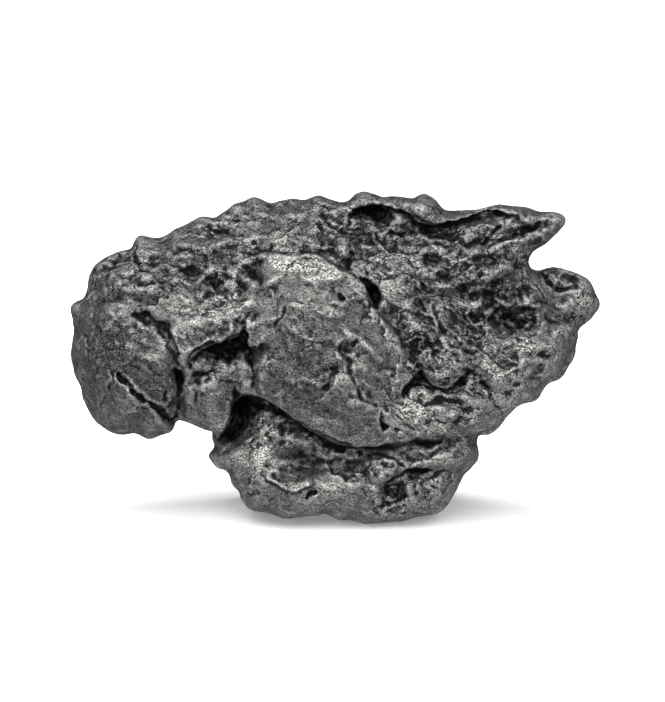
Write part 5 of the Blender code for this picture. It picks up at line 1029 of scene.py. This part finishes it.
def thin_out(stone, levels=10):
    """Fewer triangles behind, so that the front keeps its fine ones."""
    skin = Skin(stone)
    group = stone.vertex_groups.new(name="thin")
    thinned = 0.6 - 0.4 * ease(skin.normals[:, 2], -0.4, 0.3)
    for level in range(1, levels + 1):
        picks = np.flatnonzero(np.ceil(thinned * levels) == level)
        group.add(picks.tolist(), level / levels, "REPLACE")
    fewer = stone.modifiers.new("fewer", "DECIMATE")
    fewer.ratio = min(1.0, TRIANGLES / (2 * len(stone.data.polygons)))
    fewer.vertex_group = group.name
    fewer.vertex_group_factor = 0.9
    apply_all(stone)
    stone.vertex_groups.clear()


def settle(stone):
    """Nothing reaches below the plane the stone stands on."""
    places = points_of(stone.data)
    places[:, 2] = np.where(places[:, 2] < RESTING_HEIGHT * MM, 0, places[:, 2])
    move_points(stone.data, places)


def merged_copy(source, name):
    """A copy of a CAD node with its loose triangles joined."""
    only(source)
    bpy.ops.object.duplicate()
    piece = bpy.context.view_layer.objects.active
    piece.name = name
    piece.data.name = name
    bpy.ops.object.mode_set(mode="EDIT")
    bpy.ops.mesh.select_all(action="SELECT")
    bpy.ops.mesh.remove_doubles(threshold=0.01 * MM)
    bpy.ops.mesh.normals_make_consistent(inside=False)
    bpy.ops.object.mode_set(mode="OBJECT")
    piece.data.materials.clear()
    return piece


def dressed_stone():
    """The stone, softened, worked with the drawn strokes, grained and thinned."""
    stone = merged_copy(bpy.data.objects["meteorite"], "worked_iron")
    remesh(stone, SOFT_VOXEL, smoothing=8)
    fill_pits(stone, share=0.8, rounds=55)
    swell(stone, SWELL)
    remesh(stone, FINE_VOXEL)
    work_skin(stone)
    remesh(stone, FINE_VOXEL)
    grain_skin(stone)
    thin_out(stone)
    settle(stone)
    mark_relief(stone)
    only(stone)
    bpy.ops.object.shade_smooth()
    return stone


def nodes_of(material):
    """A material's nodes, and the one that shades it."""
    material.use_nodes = True
    tree = material.node_tree
    return tree, tree.nodes["Principled BSDF"]


def add(tree, kind, **settings):
    """A new node, with its sockets and settings filled in by name."""
    node = tree.nodes.new(kind)
    for key, value in settings.items():
        if key in node.inputs:
            node.inputs[key].default_value = value
        else:
            setattr(node, key, value)
    return node


def ramp(tree, source, stops):
    """Greys or colours by the source's value: (value, grey or colour), from low to high."""
    node = tree.nodes.new("ShaderNodeValToRGB")
    elements = node.color_ramp.elements
    for count, (place, value) in enumerate(stops):
        element = elements[count] if count < 2 else elements.new(place)
        element.position = place
        element.color = (*value, 1) if isinstance(value, tuple) else (value, value, value, 1)
    tree.links.new(source, node.inputs["Fac"])
    return node.outputs["Color"]


def spread(tree, source, low, high, start=0.0):
    """The source's values from start to 1, spread from low to high."""
    node = add(tree, "ShaderNodeMapRange")
    for socket, value in (("From Min", start), ("To Min", low), ("To Max", high)):
        node.inputs[socket].default_value = value
    tree.links.new(source, node.inputs["Value"])
    return node.outputs["Result"]


def worked_out(tree, operation, *terms):
    """A sum of sockets and plain numbers."""
    node = add(tree, "ShaderNodeMath", operation=operation)
    for term, socket in zip(terms, node.inputs):
        if isinstance(term, float):
            socket.default_value = term
        else:
            tree.links.new(term, socket)
    return node.outputs[0]


def product(tree, first, *factors):
    """All of these sockets multiplied."""
    for factor in factors:
        first = worked_out(tree, "MULTIPLY", first, factor)
    return first


def mark(tree, name):
    """One of the marks that mark_relief leaves on the stone."""
    return add(tree, "ShaderNodeAttribute", attribute_name=name).outputs["Fac"]


def noise(tree, place, **settings):
    """Cloudy noise laid on these places."""
    node = add(tree, "ShaderNodeTexNoise", **settings)
    tree.links.new(place, node.inputs["Vector"])
    return node.outputs


def mixed(tree, factor, first, second, **settings):
    """The first source at factor 0 and the second at 1."""
    node = add(tree, "ShaderNodeMix", **settings)
    for socket, source in (("Factor", factor), ("A", first), ("B", second)):
        if isinstance(source, bpy.types.NodeSocket):
            tree.links.new(source, node.inputs[socket])
        else:
            node.inputs[socket].default_value = source
    return node.outputs["Result"]


def hairlines(tree, place, drawn, broken):
    """A net of dark lines as fine as hairs, shown only in patches, which spread further on broken skin; 1
    between them.
    """
    strayed = add(tree, "ShaderNodeVectorMath", operation="MULTIPLY_ADD")
    tree.links.new(noise(tree, drawn, Scale=520.0, Detail=3.0)["Color"], strayed.inputs[0])
    strayed.inputs[1].default_value = (0.0022, 0.0022, 0.0022)
    tree.links.new(drawn, strayed.inputs[2])
    net = add(tree, "ShaderNodeTexVoronoi", feature="DISTANCE_TO_EDGE", Scale=470.0)
    tree.links.new(strayed.outputs["Vector"], net.inputs["Vector"])
    lines = ramp(tree, net.outputs["Distance"], [(0.0, 0.12), (0.05, 1.0)])
    cloud = noise(tree, place, Scale=330.0, Detail=2.0)["Fac"]
    patches = worked_out(tree, "MULTIPLY_ADD", broken, 0.12, cloud)
    return worked_out(tree, "MAXIMUM", lines, ramp(tree, patches, [(0.55, 1.0), (0.62, 0.0)]))


def worked_iron():
    """Nickel iron with painted shade in its pits, cracks and broad hollows, painted shade and painted light
    in drawn patches, worn paler on its edges, with a fine crystalline grain.
    """
    iron = bpy.data.materials.new("worked_iron")
    tree, shader = nodes_of(iron)
    link = tree.links.new
    place = add(tree, "ShaderNodeTexCoord").outputs["Object"]
    drawn = add(tree, "ShaderNodeMapping", vector_type="TEXTURE", Rotation=(0, -FALL, 0), Scale=(1.5, 1, 1))
    link(place, drawn.inputs["Vector"])
    drawn = drawn.outputs["Vector"]
    fine = mark(tree, "fine_relief")
    broken = mark(tree, "broken")

    # Painted shade: darker in pits, cracks and creases where the fine relief sinks.
    crevice_shade = ramp(tree, fine, [(0.08, 0.14), (0.42, 1.0)])
    # Painted shade: darker under swells and in broad hollows, by the broad relief.
    depth = ramp(tree, mark(tree, "broad_relief"), [(0.05, 0.60), (0.45, 1.0)])
    patches = noise(tree, place, Scale=420.0, Detail=5.0, Roughness=0.65)["Fac"]
    patchy = ramp(tree, patches, [(0.32, 0.82), (0.68, 1.0)])
    # Dark scale and worn metal, with painted shade and painted light and highlights, from the drawn patches.
    stain_shade_light_tone = ramp(tree, mark(tree, "stain_shade_light"), [(0.0, 0.14), (0.5, 0.42), (1.0, 1.0)])
    hairline = hairlines(tree, place, drawn, broken)
    grain = noise(tree, drawn, Scale=4300.0, Detail=2.0, Roughness=0.75)["Fac"]
    faint = ramp(tree, grain, [(0.34, 0.10), (0.66, 1.08)])
    strong = ramp(tree, grain, [(0.37, 0.03), (0.65, 1.42)])
    specks = mixed(tree, broken, faint, strong)

    # All the colour factors, painted shade and painted light among them; the same product sets the roughness.
    tone_and_painted_shade = product(tree, crevice_shade, depth, patchy, specks, stain_shade_light_tone, hairline)
    metal = [(0.0, (0.006, 0.006, 0.006)), (0.42, (0.262, 0.259, 0.250)), (1.0, (0.900, 0.890, 0.860))]
    worn = product(tree, ramp(tree, fine, [(0.55, 0.0), (0.95, 0.75)]), specks, hairline)
    bare = (0.56, 0.552, 0.535, 1)
    link(mixed(tree, worn, ramp(tree, tone_and_painted_shade, metal), bare, data_type="RGBA"), shader.inputs["Base Color"])
    shader.inputs["Metallic"].default_value = 1.0
    link(spread(tree, tone_and_painted_shade, 0.55, 0.33), shader.inputs["Roughness"])

    bump = add(tree, "ShaderNodeBump", Distance=0.2 * MM)
    link(spread(tree, broken, 0.35, 1.0), bump.inputs["Strength"])
    link(product(tree, grain, hairline), bump.inputs["Height"])
    link(bump.outputs["Normal"], shader.inputs["Normal"])
    return iron


def pale_floor():
    """Matt white paper a hair below the stone, which the metal doesn't mirror."""
    paper = bpy.data.materials.new("pale_paper")
    _, shader = nodes_of(paper)
    shader.inputs["Base Color"].default_value = (0.92, 0.92, 0.92, 1)
    shader.inputs["Roughness"].default_value = 0.9
    shader.inputs["Emission Color"].default_value = (1, 1, 1, 1)
    shader.inputs["Emission Strength"].default_value = 0.15
    bpy.ops.object.select_all(action="DESELECT")
    bpy.ops.mesh.primitive_plane_add(size=8.0, location=(0, 0, -0.02 * MM))
    floor = bpy.context.view_layer.objects.active
    floor.name = "pale_floor"
    floor.data.materials.append(paper)
    floor.visible_glossy = False
    return floor


def lamp(name, location, target, energy, size):
    """A rectangular soft lamp turned to its target."""
    data = bpy.data.lights.new(name, "AREA")
    data.energy = energy
    data.shape = "RECTANGLE"
    data.size, data.size_y = size
    light = bpy.data.objects.new(name, data)
    bpy.context.scene.collection.objects.link(light)
    light.location = location
    light.rotation_mode = "QUATERNION"
    light.rotation_quaternion = (Vector(target) - Vector(location)).to_track_quat("-Z", "Y")
    return light


def room():
    """A room that is bright above, dim below and dimmer behind."""
    world = bpy.data.worlds.new("studio")
    world.use_nodes = True
    tree = world.node_tree
    split = add(tree, "ShaderNodeSeparateXYZ")
    tree.links.new(add(tree, "ShaderNodeTexCoord").outputs["Generated"], split.inputs["Vector"])
    height = spread(tree, split.outputs["Z"], 0.0, 1.0, start=-1.0)
    bands = [(0.0, 0.38), (0.30, 0.29), (0.50, 0.27), (0.63, 0.40), (0.80, 0.66), (0.92, 0.42), (1.0, 0.32)]
    sky = ramp(tree, height, bands)
    behind = ramp(tree, split.outputs["Y"], [(0.15, 1.0), (0.85, 0.25)])
    background = tree.nodes["Background"]
    light = mixed(tree, 1.0, sky, behind, data_type="RGBA", blend_type="MULTIPLY")
    tree.links.new(light, background.inputs["Color"])
    background.inputs["Strength"].default_value = 2.2
    return world


def studio():
    """A white floor under a broad overhead light, with a second lamp that lights the floor alone."""
    pale_floor()
    bpy.context.scene.world = room()
    lamp("top_softbox", (-0.10, -0.25, 0.50), (0, 0, 0.03), 2.2, (0.5, 0.4))
    wash = lamp("floor_wash", (0, 0.12, 0.6), (0, 0, 0), 4.5, (0.35, 0.3))
    wash.visible_glossy = False


def camera():
    """A long lens square to the broad face."""
    distance = 1.5
    seen_height = 105.3 * MM
    middle = FACE_ORIGIN + np.array([-0.45, 25.9, 0]) @ TO_FACE.T
    data = bpy.data.cameras.new("camera")
    data.sensor_width = 36
    data.lens = data.sensor_width * distance / seen_height
    data.clip_start = 0.1
    data.clip_end = 20
    view = bpy.data.objects.new("camera", data)
    bpy.context.scene.collection.objects.link(view)
    view.location = Vector(middle * MM + OUT * distance)
    view.rotation_mode = "QUATERNION"
    view.rotation_quaternion = Vector(-OUT).to_track_quat("-Z", "Y")
    bpy.context.scene.camera = view


stone = dressed_stone()
stone.data.materials.append(worked_iron())
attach(stone, "root")
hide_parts("meteorite")
studio()
camera()
bpy.context.scene.view_settings.view_transform = "Standard"
